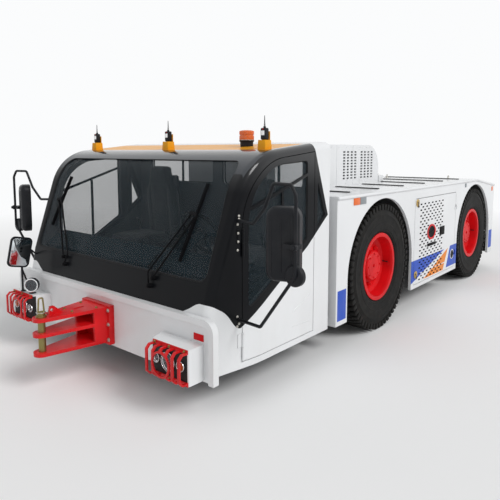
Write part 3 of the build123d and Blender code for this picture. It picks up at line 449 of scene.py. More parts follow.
# %% Other finishes of the solids
def red_paint(name, colour, chips, mirror_like=0.25):
    finish = Finish(name)
    edge = finish.edges(0.005) * finish.noise(70, 6).ramp(0.5, 0.62) * chips
    scuffs = finish.noise(25, 8, (1, 1, 0.3)).ramp(0.66, 0.74) * 0.35 * chips
    worn = edge.most(scuffs)
    tone = finish.mix(finish.noise(5, 3).ramp(0.3, 0.75), colour,
                      tuple(c * 0.72 for c in colour[:3]) + (1,))
    steel = finish.mix(finish.noise(40, 4).ramp(0.4, 0.7), (0.22, 0.19, 0.17, 1),
                       (0.20, 0.08, 0.04, 1))
    inputs = {"Base Color": finish.mix(worn, tone, steel),
              "Roughness": 0.28 + worn * 0.35 + finish.noise(12, 3) * 0.08,
              "Metallic": worn * 0.5, "Coat Weight": (1 - worn) * (mirror_like * 0.5),
              "Coat Roughness": 0.08, "Specular IOR Level": mirror_like}
    height = finish.noise(260, 2) * 0.3 - worn * 0.6
    return finish.surface(inputs, height, 0.0008, 0.003)


def satin(name, colour, rough=0.5, grain=180.0, metallic=0.0, rounding=0.002, dust=0.2,
          mirror_like=0.5):
    """Satin paint, moulded plastic or metal with a fine grain and a little dust."""
    finish = Finish(name)
    dirt = finish.noise(7, 6).ramp(0.45, 0.8) * dust
    tone = finish.mix(finish.noise(3, 3), colour, tuple(c * 0.8 for c in colour[:3]) + (1,))
    inputs = {"Base Color": finish.mix(dirt, tone, (0.20, 0.19, 0.175, 1)),
              "Roughness": rough + dirt * 0.3 + finish.noise(30, 3) * 0.08,
              "Metallic": metallic, "Specular IOR Level": mirror_like}
    return finish.surface(inputs, finish.noise(grain, 3), 0.0006, rounding)


def glass(name, colour, cover, rough=0.03, mirror_like=0.5):
    """Tinted glass: cover is how much of what lies behind each face it hides."""
    finish = Finish(name)
    smear = finish.noise(4, 6, (1, 1, 0.5)).ramp(0.4, 0.8)
    inputs = {"Base Color": finish.mix(smear * 0.10, colour, grey(0.25)),
              "Roughness": rough + smear * 0.04, "Alpha": cover + smear * 0.02,
              "IOR": 1.5, "Specular IOR Level": mirror_like}
    return finish.surface(inputs)


hitch_red = red_paint("hitch_red", (0.74, 0.008, 0.012, 1), 1.0)
rim_red = red_paint("rim_red", (0.76, 0.008, 0.012, 1), 0.25, 0.10)
dash_black = satin("dash_black", (0.026, 0.037, 0.045, 1), 0.9, 60, dust=0.0,
                   mirror_like=0.0)
wiper_black = satin("wiper_black", (0.004, 0.004, 0.005, 1), 0.55, 420, dust=0.0,
                    mirror_like=0.10)
chassis_black = satin("chassis_black", (0.022, 0.022, 0.024, 1), 0.45)
liner_grey = satin("liner_grey", (0.115, 0.118, 0.120, 1), 0.62, 90, dust=0.35)
engine_grey = satin("engine_grey", (0.11, 0.115, 0.12, 1), 0.6, 60)
mirror_black = satin("mirror_black", (0.009, 0.010, 0.013, 1), 0.36, 420, dust=0.05,
                     mirror_like=0.2)
moulded_black = satin("moulded_black", (0.030, 0.031, 0.034, 1), 0.55, 520, dust=0.1)
rubber_black = satin("rubber_black", (0.010, 0.010, 0.011, 1), 0.6, 300, dust=0.05,
                     mirror_like=0.2)
olive_zinc = satin("olive_zinc", (0.30, 0.25, 0.09, 1), 0.32, 200, 0.85)
bright_zinc = satin("bright_zinc", (0.62, 0.60, 0.55, 1), 0.30, 200, 0.9, dust=0.1)
brass = satin("brass", (0.62, 0.42, 0.13, 1), 0.28, 200, 0.9, dust=0.15)
chrome = satin("chrome", (0.80, 0.81, 0.82, 1), 0.08, 20, 1.0, dust=0.0)
tinted_glass = glass("tinted_glass", (0.024, 0.040, 0.050, 1), 0.23, mirror_like=0.18)
lamp_glass = glass("lamp_glass", (0.50, 0.54, 0.58, 1), 0.12)
tail_red = glass("tail_red", (0.55, 0.008, 0.008, 1), 0.86, 0.12)
amber = glass("amber", (0.85, 0.16, 0.01, 1), 0.88, 0.14)

finishes = {
    white_paint: ["body_front_wall", "cooling_housing", "deck", "front_plate",
                  "tail_panel"],
    box_white: ["lamp_boxes"],
    lined_white: ["cab_shell", "door_panel_left", "door_panel_right"],
    striped_white: ["side_panel_left", "side_panel_right"],
    door_white: ["service_door_left", "service_door_right"],
    roof_yellow: ["roof", "aerials"],
    nose_black: ["cab_frame", "door_frame_left", "door_frame_right"],
    chassis_black: ["main_frame", "axle_front", "axle_rear"],
    hitch_red: ["front_hitch", "rear_hitch", "lamp_guards"],
    olive_zinc: ["front_hitch_pin", "rear_hitch_pin"],
    liner_grey: ["arch_liners_front", "arch_liners_rear"],
    engine_grey: ["engine_block"],
    mirror_black: ["mirrors", "corner_mirror", "work_lamp"],
    wiper_black: ["wipers"],
    dash_black: ["dashboard"],
    moulded_black: ["seats"],
    tinted_glass: ["windscreen", "rear_window", "quarter_glass", "door_glass_left",
                   "door_glass_right"],
    lamp_glass: ["headlamps"],
    tail_red: ["tail_lamps"],
    amber: ["beacon"],
}
for axle in axle_x:
    for side, _ in SIDES:
        finishes[chassis_black].append("knuckle_%s_%s" % (axle, side))
        finishes.setdefault(rim_red, []).append("rim_%s_%s" % (axle, side))
        finishes.setdefault(rubber_black, []).append("tyre_%s_%s" % (axle, side))

# %% Every solid gets its finish
for finish, names in finishes.items():
    for name in names:
        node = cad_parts[name]
        node.data.materials.clear()
        node.data.materials.append(finish)
bare = sorted(set(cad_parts) - {name for names in finishes.values() for name in names})
print("nodes without a finish:", bare)

# %% [markdown]
# ## Workshop helpers
# Each small part is shaped alone at the origin, where its sizes are easy to read, and then
# moved to its place and joined to the piece. Blender could instance objects instead, but
# one joined mesh per piece keeps the model light and its names few.


# %% Parts and pieces
def join(target, part, *moves):
    """Add a part to a growing mesh, once for each move. The part is used up."""
    for move in moves or (Matrix(),):
        mesh = bpy.data.meshes.new("part")
        part.to_mesh(mesh)
        mesh.transform(move)
        if move.determinant() < 0:
            mesh.flip_normals()
        target.from_mesh(mesh)
        bpy.data.meshes.remove(mesh)
    part.free()
    return target


def bevelled(part, edges, width, segments=2):
    bmesh.ops.bevel(part, geom=list(edges), offset=width, offset_type="OFFSET",
                    segments=segments, profile=0.5, affect="EDGES", clamp_overlap=True,
                    material=-1)
    return part


def block(size, width=0.0, segments=2):
    part = bmesh.new()
    bmesh.ops.create_cube(part, size=1)
    bmesh.ops.scale(part, vec=size, verts=part.verts)
    return bevelled(part, part.edges, width, segments) if width else part


def rod(radius, length, sides=16, width=0.0, tip=None):
    """A round bar along Z; tip is the radius of its upper end."""
    part = bmesh.new()
    bmesh.ops.create_cone(part, cap_ends=True, segments=sides, radius1=radius,
                          radius2=radius if tip is None else tip, depth=length)
    if width:
        ends = [edge for edge in part.edges if abs(edge.verts[0].co.z - edge.verts[1].co.z) < 1e-6]
        bevelled(part, ends, width)
    return part


def turned(outline, steps=48, closed=False):
    """Spin (radius, height) points about Z."""
    part = bmesh.new()
    dots = [part.verts.new((radius, 0, height)) for radius, height in outline]
    pairs = list(zip(dots, dots[1:])) + ([(dots[-1], dots[0])] if closed else [])
    lines = [part.edges.new(pair) for pair in pairs]
    bmesh.ops.spin(part, geom=dots + lines, cent=(0, 0, 0), axis=(0, 0, 1), dvec=(0, 0, 0),
                   angle=math.tau, steps=steps, use_merge=True, use_duplicate=False)
    bmesh.ops.remove_doubles(part, verts=part.verts, dist=1e-6)
    bmesh.ops.recalc_face_normals(part, faces=part.faces)
    return part


def plate(outline, thickness, width=0.0):
    """A flat plate from (x, y) corners, from z 0 to its thickness."""
    part = bmesh.new()
    corners = [part.verts.new((x, y, 0)) for x, y in outline]
    face = part.faces.new(corners)
    pulled = bmesh.ops.extrude_face_region(part, geom=[face])["geom"]
    moved = [v for v in pulled if isinstance(v, bmesh.types.BMVert)]
    bmesh.ops.translate(part, vec=(0, 0, thickness), verts=moved)
    bmesh.ops.recalc_face_normals(part, faces=part.faces)
    return bevelled(part, part.edges, width) if width else part


# %% [markdown]
# ## Moves
# A part lies along Z at the origin, so three moves are enough: to a place, between two
# points, and standing on a place along a direction. The tractor is alike on both sides,
# and a diagonal matrix with a -1 makes the other side's copy.


# %% Moves
def to(place, turn=(0, 0, 0)):
    """A move to a place after turning by degrees about X, Y and Z."""
    angles = [math.radians(value) for value in turn]
    spin_z = Matrix.Rotation(angles[2], 4, "Z")
    spin_y = Matrix.Rotation(angles[1], 4, "Y")
    return Matrix.Translation(place) @ spin_z @ spin_y @ Matrix.Rotation(angles[0], 4, "X")


def between(start, end):
    """Lay a part's Z axis from start to end, with its middle half way."""
    start, end = Vector(start), Vector(end)
    turn = (end - start).to_track_quat("Z", "Y").to_matrix().to_4x4()
    return Matrix.Translation((start + end) / 2) @ turn


def bar(target, start, end, radius, sides=12, width=0.0):
    length = (Vector(end) - Vector(start)).length
    join(target, rod(radius, length, sides, width), between(start, end))


MIRROR = Matrix.Diagonal((1, -1, 1, 1))


def flipped(sign):
    """Leave a left-hand part as it is for 1, and take it to the right for -1."""
    return Matrix.Diagonal((1, sign, 1, 1))


def both(mesh):
    """Add the other side's copy of a growing mesh."""
    return join(mesh, mesh.copy(), MIRROR)


def stand(place, way):
    """Set a part's Z axis along a direction, with its foot at a place."""
    turn = Vector(way).to_track_quat("Z", "Y").to_matrix().to_4x4()
    return Matrix.Translation(place) @ turn


def bolt(radius, height):
    """A hex head on its washer, standing on Z = 0."""
    part = join(bmesh.new(), rod(radius * 1.4, 0.0024, 16, 0.0005), to((0, 0, 0.001)))
    return join(part, rod(radius, height, 6, radius * 0.14), to((0, 0, height / 2 + 0.002)))


# %% [markdown]
# ## Standing on a solid
# A bolt that is placed by numbers alone floats or sinks as soon as a panel moves. Here a
# straight line is sent at the solid, and the part stands on the point that it hits, square
# to the skin there. The search tree of each solid is made once and kept.


# %% Places on the skin of a solid
def merged_copy(node):
    """A merged copy of a solid, which stays as it is."""
    mesh = bmesh.new()
    mesh.from_mesh(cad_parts[node].data)
    bmesh.ops.remove_doubles(mesh, verts=mesh.verts, dist=1e-5)
    return mesh


surfaces = {}


def touch(node, start, way):
    """Where a straight line from start meets a solid, and which way its surface faces."""
    if node not in surfaces:
        mesh = merged_copy(node)
        surfaces[node] = BVHTree.FromBMesh(mesh)
        mesh.free()
    place, normal, _, _ = surfaces[node].ray_cast(start, way)
    return stand(place, normal)


def from_side(node, ahead, up, left=2.0):
    """Stand on the outer side of a solid, looking at it from the left."""
    return touch(node, at(ahead, left, up), Vector((0, -1, 0)))


def from_front(node, left, up):
    return touch(node, at(4.0, left, up), Vector((-1, 0, 0)))


# %% [markdown]
# ## Pieces
# A finished mesh becomes one object at the origin, with its place in its mesh. Faces are
# smooth, and an edge stays sharp where its faces meet at more than a set angle. It rides on
# a body of the model, so it moves with the doors, wheels and pins.


# %% A finished piece
def piece(name, mesh, finish, body="chassis", sharp=35):
    """Make the finished mesh an object that rides on a body."""
    for face in mesh.faces:
        face.smooth = True
    for edge in mesh.edges:
        edge.smooth = edge.calc_face_angle(0) < math.radians(sharp)
    data = bpy.data.meshes.new(name)
    mesh.to_mesh(data)
    mesh.free()
    data.materials.append(finish)
    made = bpy.data.objects.new(name, data)
    bpy.context.scene.collection.objects.link(made)
    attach(made, body)
    return made


# %% [markdown]
# ## Tyres
# These are wide industrial tyres: a smooth sidewall with a few raised rings and a row of
# lug blocks that wrap over each shoulder. The carcass is one outline spun round the axle.
# One lug of each row is shaped from a cube and copied round by the same spin operator,
# so the blocks are real relief and not a bump.


# %% Tyres
def tyre_rubber():
    finish = Finish("tyre_rubber")
    z = finish.xyz()[2]
    tone = finish.noise(6, 4).ramp(0.3, 0.8)
    dust = finish.noise(18, 6).ramp(0.45, 0.75) * 0.30
    grit = (0.10 - z).ramp(0.0, 0.10) * finish.noise(30, 4)
    colour = finish.mix(tone, (0.0065, 0.0063, 0.006, 1), (0.0115, 0.011, 0.0102, 1))
    colour = finish.mix((dust + grit * 0.4), colour, (0.038, 0.035, 0.031, 1))
    fine = finish.noise(140, 4) * 0.5 + finish.cells(90) * 0.25
    inputs = {"Base Color": colour, "Roughness": 0.62 + tone * 0.14, "Specular IOR Level": 0.15}
    return finish.surface(inputs, fine, 0.0008)


tyre_finish = tyre_rubber()
LUGS = 60
LUG_DEPTH = 0.040
SHOULDER = 0.060
bead_radius = 0.3005
tread_base = wheel_radius - 0.017
half_width = (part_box("tyre_front_left")[1].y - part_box("tyre_front_left")[0].y) / 2


def tyre_carcass():
    shoulder = tread_base - 0.024
    one_side = [
        (0.331, half_width - 0.033), (0.345, half_width - 0.020), (0.352, half_width - 0.013),
        (0.364, half_width - 0.012), (0.369, half_width - 0.008), (0.400, half_width - 0.004),
        (0.418, half_width - 0.0035), (0.421, half_width - 0.0015), (0.425, half_width - 0.0015),
        (0.428, half_width - 0.003), (0.462, half_width - 0.001), (0.500, half_width - 0.001),
        (0.503, half_width - 0.0), (0.508, half_width - 0.0), (0.511, half_width - 0.002),
        (0.545, half_width - 0.006), (shoulder, half_width - 0.014),
        (tread_base - 0.006, half_width - 0.034), (tread_base, half_width - SHOULDER),
    ]
    outline = [(bead_radius, half_width - 0.0345)] + one_side
    other = [(radius, -along) for radius, along in reversed(outline)]
    return turned(outline + other, 120, closed=True)


def lug(tangent, near, far, drop):
    """A tread block; drop is how far its outer end reaches down over the shoulder."""
    part = bmesh.new()
    bmesh.ops.create_cube(part, size=1)
    bmesh.ops.scale(part, vec=(tangent, far - near, LUG_DEPTH), verts=part.verts)
    top = wheel_radius - 0.0006
    bmesh.ops.translate(part, vec=(0, (near + far) / 2, top - LUG_DEPTH / 2), verts=part.verts)
    crown = [v for v in part.verts if v.co.z > top - 0.001]
    bmesh.ops.scale(part, vec=(0.86, 1, 1), verts=crown)
    outer_top = [v for v in crown if abs(v.co.y) > abs((near + far) / 2)]
    bmesh.ops.translate(part, vec=(0, 0, -0.006), verts=outer_top)
    outer_foot = [v for v in part.verts if v not in crown and abs(v.co.y - far) < 1e-5]
    bmesh.ops.translate(part, vec=(0, 0, -drop), verts=outer_foot)
    return bevelled(part, part.edges, 0.0035, 2)


def all_round(part, count, phase):
    """Copies of a part round the Y axis, by the spin operator."""
    bmesh.ops.rotate(part, verts=part.verts, cent=(0, 0, 0),
                     matrix=Matrix.Rotation(phase, 3, "Y"))
    geometry = list(part.verts) + list(part.edges) + list(part.faces)
    bmesh.ops.spin(part, geom=geometry, cent=(0, 0, 0), axis=(0, 1, 0), dvec=(0, 0, 0),
                   angle=math.tau * (count - 1) / count, steps=count - 1,
                   use_merge=False, use_duplicate=True)
    return part


def tyre_mesh():
    mesh = join(bmesh.new(), tyre_carcass(), Matrix.Rotation(math.radians(-90), 4, "X"))
    pitch_angle = math.tau / LUGS
    shoulder_lug = all_round(lug(0.044, half_width - SHOULDER, half_width - 0.001, 0.020), LUGS, 0)
    middle_lug = all_round(lug(0.047, 0.010, half_width - 0.070, 0.0), LUGS, pitch_angle / 2)
    for part in (shoulder_lug, middle_lug):
        join(mesh, part, Matrix(), MIRROR @ Matrix.Rotation(pitch_angle / 2, 4, "Y"))
    return mesh


tyre_pattern = tyre_mesh()
for axle, x in axle_x.items():
    for side, sign in SIDES:
        tag = "%s_%s" % (axle, side)
        place = to((x, sign * wheel_y, wheel_radius)) @ flipped(sign)
        mesh = join(bmesh.new(), tyre_pattern.copy(), place)
        tyre = piece("treaded_tyre_" + tag, mesh, tyre_finish, "wheel_" + tag, 28)
        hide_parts("tyre_" + tag)
print("tyre faces", len(tyre_pattern.faces))
tyre_pattern.free()

# %% [markdown]
# ## Wheel nuts, hub bolts and valves
# The rims are bolted to the hubs deep in their dish. Ten chamfered nuts on studs stand on
# the disc, small bolts hold the hub's cover, and a valve stem points out of the barrel.
# One wheel's set is made at the origin and placed on all four, so the wheels are equal.


# %% Wheel hardware
NUTS, NUT_CIRCLE = 10, 0.190
COVER_BOLTS, COVER_CIRCLE = 8, 0.118


def wheel_hardware():
    """Nuts and bolts of a wheel whose axle is Z and whose outer side is up."""
    mesh = bmesh.new()
    disc, hub_face = 0.015, 0.078
    for index in range(NUTS):
        turn = Matrix.Rotation(math.tau * (index + 0.5) / NUTS, 4, "Z")
        join(mesh, rod(0.0175, 0.018, 6, 0.003), turn @ to((NUT_CIRCLE, 0, disc + 0.009)))
        join(mesh, rod(0.0095, 0.034, 12, 0.0015), turn @ to((NUT_CIRCLE, 0, disc + 0.017)))
    for index in range(COVER_BOLTS):
        turn = Matrix.Rotation(math.tau * index / COVER_BOLTS, 4, "Z")
        join(mesh, bolt(0.0075, 0.006), turn @ to((COVER_CIRCLE, 0, hub_face)))
    rib = turned([(0.096, hub_face - 0.0005), (0.099, hub_face + 0.0022),
                  (0.102, hub_face + 0.0022), (0.105, hub_face - 0.0005)], 64)
    join(mesh, rib)
    join(mesh, rod(0.016, 0.010, 32, 0.003), to((0, 0, hub_face + 0.004)))
    return mesh


def valve():
    """A rubber valve on a short bent stem in the barrel."""
    mesh = bmesh.new()
    foot, knee, tip = (0.276, 0, 0.030), (0.262, 0, 0.050), (0.258, 0, 0.085)
    bar(mesh, foot, knee, 0.006, 12)
    bar(mesh, knee, tip, 0.0045, 12)
    join(mesh, rod(0.0062, 0.014, 12, 0.0015), to((0.2575, 0, 0.088)))
    return mesh


for axle, x in axle_x.items():
    for side, sign in SIDES:
        tag = "%s_%s" % (axle, side)
        outward = stand((x, sign * wheel_y, wheel_radius), (0, sign, 0))
        nuts = join(bmesh.new(), wheel_hardware(), outward)
        piece("wheel_nuts_" + tag, nuts, rim_red, "wheel_" + tag)
        stem = join(bmesh.new(), valve(), outward)
        piece("valve_" + tag, stem, rubber_black, "wheel_" + tag)
print("wheel hardware on", len(axle_x) * len(SIDES), "wheels")

# %% [markdown]
# ## Window rubbers
# Every pane sits in a bead of black rubber. The bead has to follow the edge of the real
# pane, so its path is read from the solid: the sharp edges on the pane's outer side make
# closed loops, and each loop becomes a round tube. The windscreen bends back at its top,
# where its rim is less sharp, so an edge counts from 25 degrees on. The edges are sorted by
# where they lie, so that a loop starts at the same corner each time. A curve with a bevel
# depth makes the tube in one step, and is then turned into a mesh like every other piece.

# %% Rubber beads along the panes
RIM_ANGLE = math.radians(25)
FACING = 0.6


def outer_loops(node, outward):
    """Closed runs of points along the sharp edges of a pane's outer side."""
    mesh = merged_copy(node)
    outward = Vector(outward).normalized()
    rim = []
    for edge in mesh.edges:
        if len(edge.link_faces) == 2 and edge.calc_face_angle(0) > RIM_ANGLE:
            if max(face.normal.dot(outward) for face in edge.link_faces) > FACING:
                rim.append(edge)
    rim.sort(key=lambda edge: sorted(tuple(vert.co) for vert in edge.verts))
    loops = []
    while rim:
        first, last = sorted(rim.pop(0).verts, key=lambda vert: tuple(vert.co))
        run = [first, last]
        while last is not first:
            ahead = [edge for edge in last.link_edges if edge in rim]
            if not ahead:
                break
            rim.remove(ahead[0])
            last = ahead[0].other_vert(last)
            run.append(last)
        if last is first and len(run) > 3:
            loops.append([vert.co.copy() for vert in run[:-1]])
    mesh.free()
    return loops


def bead(loops, radius):
    """Round tubes along closed runs of points."""
    curve = bpy.data.curves.new("bead", "CURVE")
    curve.dimensions = "3D"
    curve.bevel_depth = radius
    curve.bevel_resolution = 2
    for loop in loops:
        line = curve.splines.new("POLY")
        line.points.add(len(loop) - 1)
        line.use_cyclic_u = True
        for dot, place in zip(line.points, loop):
            dot.co = (*place, 1)
    holder = bpy.data.objects.new("bead", curve)
    data = bpy.data.meshes.new_from_object(holder)
    mesh = bmesh.new()
    mesh.from_mesh(data)
    bpy.data.objects.remove(holder)
    bpy.data.curves.remove(curve)
    bpy.data.meshes.remove(data)
    return mesh


for node, outward, radius in (("windscreen", (1, 0, 0.6), 0.0095),
                              ("rear_window", (-1, 0, 0), 0.008)):
    loops = outer_loops(node, outward)
    piece(node + "_rubber", bead(loops, radius), rubber_black, "chassis", 80)
    print(node, "rubber loops", len(loops))
quarter = outer_loops("quarter_glass", (0, 1, 0)) + outer_loops("quarter_glass", (0, -1, 0))
piece("quarter_glass_rubber", bead(quarter, 0.006), rubber_black, "chassis", 80)
for side, sign in SIDES:
    loops = outer_loops("door_glass_" + side, (0, sign, 0))
    piece("door_rubber_" + side, bead(loops, 0.007), rubber_black, "cab_door_" + side,
          80)

# %% [markdown]
# ## Bolts and pressings of the cab doors
# A column of small zinc bolts holds the mirror's bracket and the upper hinge to the black
# pillar, and four more hold the lower foot. Their places come from the solids: a straight
# line is sent at the skin from the side, and the bolt stands where it lands. The door's
# white panel carries two pressed lines that stiffen the sheet.

# %% Cab bolts and door pressings
PILLAR_BOLTS = [(2.034, 1.298), (2.034, 1.277), (2.046, 1.242), (2.046, 1.184), (2.046, 1.127),
                (2.046, 1.069)]
FOOT_BOLTS = [(2.050, 0.614), (2.036, 0.593), (2.036, 0.563), (2.051, 0.547)]
bolts = bmesh.new()
for ahead, up in PILLAR_BOLTS + FOOT_BOLTS:
    join(bolts, bolt(0.0065, 0.005), from_side("cab_frame", ahead, up))
piece("pillar_bolts", both(bolts), bright_zinc, "chassis")

PRESSINGS = [((1.443, 0.508), (1.222, 0.604)), ((1.448, 0.394), (1.218, 0.385))]
for side, sign in SIDES:
    lines = bmesh.new()
    for (x0, z0), (x1, z1) in PRESSINGS:
        start = from_side("door_panel_left", x0, z0).translation
        end = from_side("door_panel_left", x1, z1).translation
        bar(lines, start, end, 0.0035, 10, 0.001)
    lines = join(bmesh.new(), lines, flipped(sign))
    piece("door_pressings_" + side, lines, white_paint, "cab_door_" + side)
print("cab bolts", len(PILLAR_BOLTS + FOOT_BOLTS) * 2)

# %% [markdown]
# ## Mirrors
# The big heads are moulded shells on a bent tube, so from the front they show black
# plastic, and the silver glass faces back to the driver. The glass is a thin plate of its
# own with a mirror finish. A star knob clamps each head to the tube.


# %% Mirror glass and clamps
def rounded(width, height, radius, steps=6):
    """Corners of a rectangle with round corners, about the origin."""
    dots = []
    for corner, (way_x, way_y) in enumerate(((1, 1), (-1, 1), (-1, -1), (1, -1))):
        for step in range(steps + 1):
            angle = math.radians(90 * (corner + step / steps))
            dots.append((way_x * (width / 2 - radius) + radius * math.cos(angle),
                         way_y * (height / 2 - radius) + radius * math.sin(angle)))
    return dots


def mirror_silver():
    finish = Finish("mirror_silver")
    smear = finish.noise(9, 4).ramp(0.4, 0.8)
    inputs = {"Base Color": finish.mix(smear, (0.72, 0.76, 0.78, 1), (0.60, 0.64, 0.66, 1)),
              "Roughness": 0.03 + smear * 0.05, "Metallic": 1.0}
    return finish.surface(inputs)


silver = mirror_silver()
head = at(2.0945, 1.600, 1.165)
head_turn = Matrix.Rotation(math.radians(20), 4, "Z")
back = head_turn @ Vector((-1, 0, 0))
glass_panes = bmesh.new()
join(glass_panes, plate(rounded(0.175, 0.405, 0.05), 0.004, 0.001),
     stand(head + back * 0.0445, back))
join(glass_panes, rod(0.056, 0.004, 40, 0.001), stand(at(2.091, 1.700, 0.985), (-1, 0, 0)))
piece("mirror_glass", both(glass_panes), silver, "chassis")

shell_trim = bmesh.new()
for offset in (-0.062, 0.0, 0.062):
    start = head - back * 0.043 + head_turn @ Vector((0, offset, -0.17))
    end = head - back * 0.043 + head_turn @ Vector((0, offset, 0.17))
    bar(shell_trim, start, end, 0.0045, 8, 0.002)
knob = at(2.137, 1.720, 1.165)
join(shell_trim, rod(0.021, 0.026, 10, 0.005), stand(knob + Vector((0.012, 0, 0)), (1, 0, 0)))
join(shell_trim, rod(0.012, 0.02, 16, 0.002), stand(knob + Vector((0.028, 0, 0)), (1, 0, 0)))
piece("mirror_trim", both(shell_trim), mirror_black, "chassis")

corner_glass = bmesh.new()
lean = Matrix.Rotation(math.radians(-12), 4, "Y")
corner_face = Matrix.Translation(at(2.467, -0.9775, 0.847)) @ lean
join(corner_glass, plate(rounded(0.168, 0.238, 0.034), 0.003, 0.001),
     corner_face @ Matrix.Rotation(math.radians(-90), 4, "X"))
piece("corner_mirror_glass", corner_glass, silver, "chassis")
print("mirrors ready")

# %% [markdown]
# ## Hitch hardware
# Three bolts a side fix each red hitch to its plate, and four more stand on the front jaw.
# The pins are zinc plated steel with an olive tint, and pale washers lie under their
# collars. The folded lamp guards carry no load, so small bolts hold them, three above the
# lamps and three below.

# %% Bolts of the hitches and guards
HITCH_BOLT_UP = (0.528, 0.420, 0.302)
HITCH_BOLT_LEFT = (-0.167, 0.167)
hitch_bolts = bmesh.new()
for up in HITCH_BOLT_UP:
    for left in HITCH_BOLT_LEFT:
        join(hitch_bolts, bolt(0.011, 0.009), from_front("front_hitch", left, up),
             touch("rear_hitch", at(-6.0, left, up), Vector((1, 0, 0))))
piece("hitch_bolts", hitch_bolts, bright_zinc, "chassis")

jaw_bolts = bmesh.new()
for ahead, left in ((2.600, 0.052), (2.600, -0.052), (2.430, 0.105), (2.430, -0.105)):
    seat = touch("front_hitch", at(ahead, left, 1.0), Vector((0, 0, -1)))
    join(jaw_bolts, bolt(0.008, 0.007), seat)
piece("jaw_bolts", jaw_bolts, olive_zinc, "chassis")

WASHER = [(0.0135, 0.5868), (0.0335, 0.5868), (0.0345, 0.5878), (0.0345, 0.5892),
          (0.0335, 0.590), (0.0135, 0.590)]
for end, ahead in (("front", 2.810), ("rear", -4.025)):
    washer = join(bmesh.new(), turned(WASHER, 40, closed=True), to(at(ahead, 0, 0)))
    piece("pin_washer_" + end, washer, bright_zinc, end + "_pin")

guard_bolts = bmesh.new()
for left in (0.828, 0.970, 1.112):
    for up in (0.478, 0.262):
        join(guard_bolts, bolt(0.0068, 0.006), from_front("lamp_guards", left, up))
piece("guard_bolts", both(guard_bolts), olive_zinc, "chassis")

blanks = bmesh.new()
join(blanks, block((0.004, 0.091, 0.045), 0.001), to(at(2.3265, 1.0975, 0.5285)))
piece("red_blank_plates", both(blanks), rim_red, "chassis")
print("hitch hardware ready")

# %% [markdown]
# ## Headlamps
# Behind each red guard sit one main lamp and two small ones, and the outer small one is an
# indicator with an amber dome. A lamp is three things: a silvered bowl with a bulb, a thin
# bezel, and a dome. The bowl is what makes a lamp look deep, so these pieces stand in for
# the plain solid pane.

# %% Lamps in the boxes
LAMP_FACE = 2.460
LAMP_UP = 0.370
INDICATOR = 1.073
LAMPS = [(0.955, 0.066), (INDICATOR, 0.036), (0.839, 0.034)]


def chrome_bowl():
    """A silvered reflector with fine flutes."""
    finish = Finish("lamp_silver")
    ripple = finish.noise(60, 2)
    inputs = {"Base Color": finish.mix(ripple.ramp(0.3, 0.7), grey(0.60), grey(0.86)),
              "Metallic": 1.0, "Roughness": 0.10 + ripple * 0.06}
    return finish.surface(inputs, ripple, 0.0015)


def reflector(radius):
    """An open bowl that looks along +Z from its rim at Z 0, with a bulb in it."""
    depth = radius * 0.55
    curve = [(radius * share, -depth * (1 - share ** 2)) for share in (0.16, 0.4, 0.6, 0.8, 0.95)]
    outline = [(0.0005, -depth)] + curve + [(radius * 0.95, 0.0), (radius, 0.0),
                                            (radius, -depth - 0.002), (0.0005, -depth - 0.002)]
    mesh = turned(outline, 40)
    join(mesh, turned([(0.0002, -depth * 0.2), (radius * 0.10, -depth * 0.3),
                       (radius * 0.13, -depth * 0.55), (radius * 0.09, -depth)], 16))
    return mesh


def dome(radius, rise):
    """A clear front, thicker in the middle."""
    curve = [(radius * math.sin(angle), rise * math.cos(angle))
             for angle in (math.radians(a) for a in (1, 20, 40, 60, 80, 90))]
    return turned([(0.0003, rise)] + curve + [(radius, -0.002), (0.0003, -0.002)], 40)


def bezel(radius, width, height):
    outline = [(radius, -0.001), (radius + width, -0.001), (radius + width, height * 0.7),
               (radius + width * 0.75, height), (radius + width * 0.25, height),
               (radius, height * 0.6)]
    return turned(outline, 40, closed=True)


lamp_silver = chrome_bowl()
bowls, rings, domes, signals = bmesh.new(), bmesh.new(), bmesh.new(), bmesh.new()
for left, radius in LAMPS:
    face = stand(at(LAMP_FACE + 0.006, left, LAMP_UP), (1, 0, 0))
    join(bowls, reflector(radius - 0.004), face)
    join(rings, bezel(radius - 0.005, 0.005, 0.006), face)
    join(signals if left == INDICATOR else domes, dome(radius - 0.005, 0.007), face)
piece("headlamp_bowls", both(bowls), lamp_silver, "chassis")
piece("headlamp_rings", both(rings), chrome, "chassis")
clear_lens = piece("headlamp_lenses", both(domes), lamp_glass, "chassis")
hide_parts("headlamps")
amber_glass = glass("amber_glass", (0.80, 0.13, 0.008, 1), 0.55)
piece("indicator_lenses", both(signals), amber_glass, "chassis")


# %% The round work lamp
work = to(at(2.425, -0.870, 0.566), (0, 0, 40))
work_face = work @ stand(Vector((0.0262, 0, 0)), (1, 0, 0))
work_bowl = join(bmesh.new(), reflector(0.052), work_face @ to((0, 0, 0.001)))
piece("work_lamp_bowl", work_bowl, lamp_silver, "chassis")
work_ring = join(bmesh.new(), bezel(0.050, 0.011, 0.005), work_face)
piece("work_lamp_ring", work_ring, chrome, "chassis")
work_lens = join(bmesh.new(), dome(0.0515, 0.006), work_face @ to((0, 0, 0.001)))
piece("work_lamp_lens", work_lens, lamp_glass, "chassis")
print("lamps", 2 * len(LAMPS) + 1)

# %% [markdown]
# ## Roof fittings
# Three aerials stand on tapered yellow feet: a dark pod with a pale window and a thin
# whip. The warning beacon is an orange lens with two bands of upright flutes over a black
# base with a pale ring. Both are small but they break the roof line, so they are real
# shapes. The flutes come from one ring of points whose radius goes up and down.


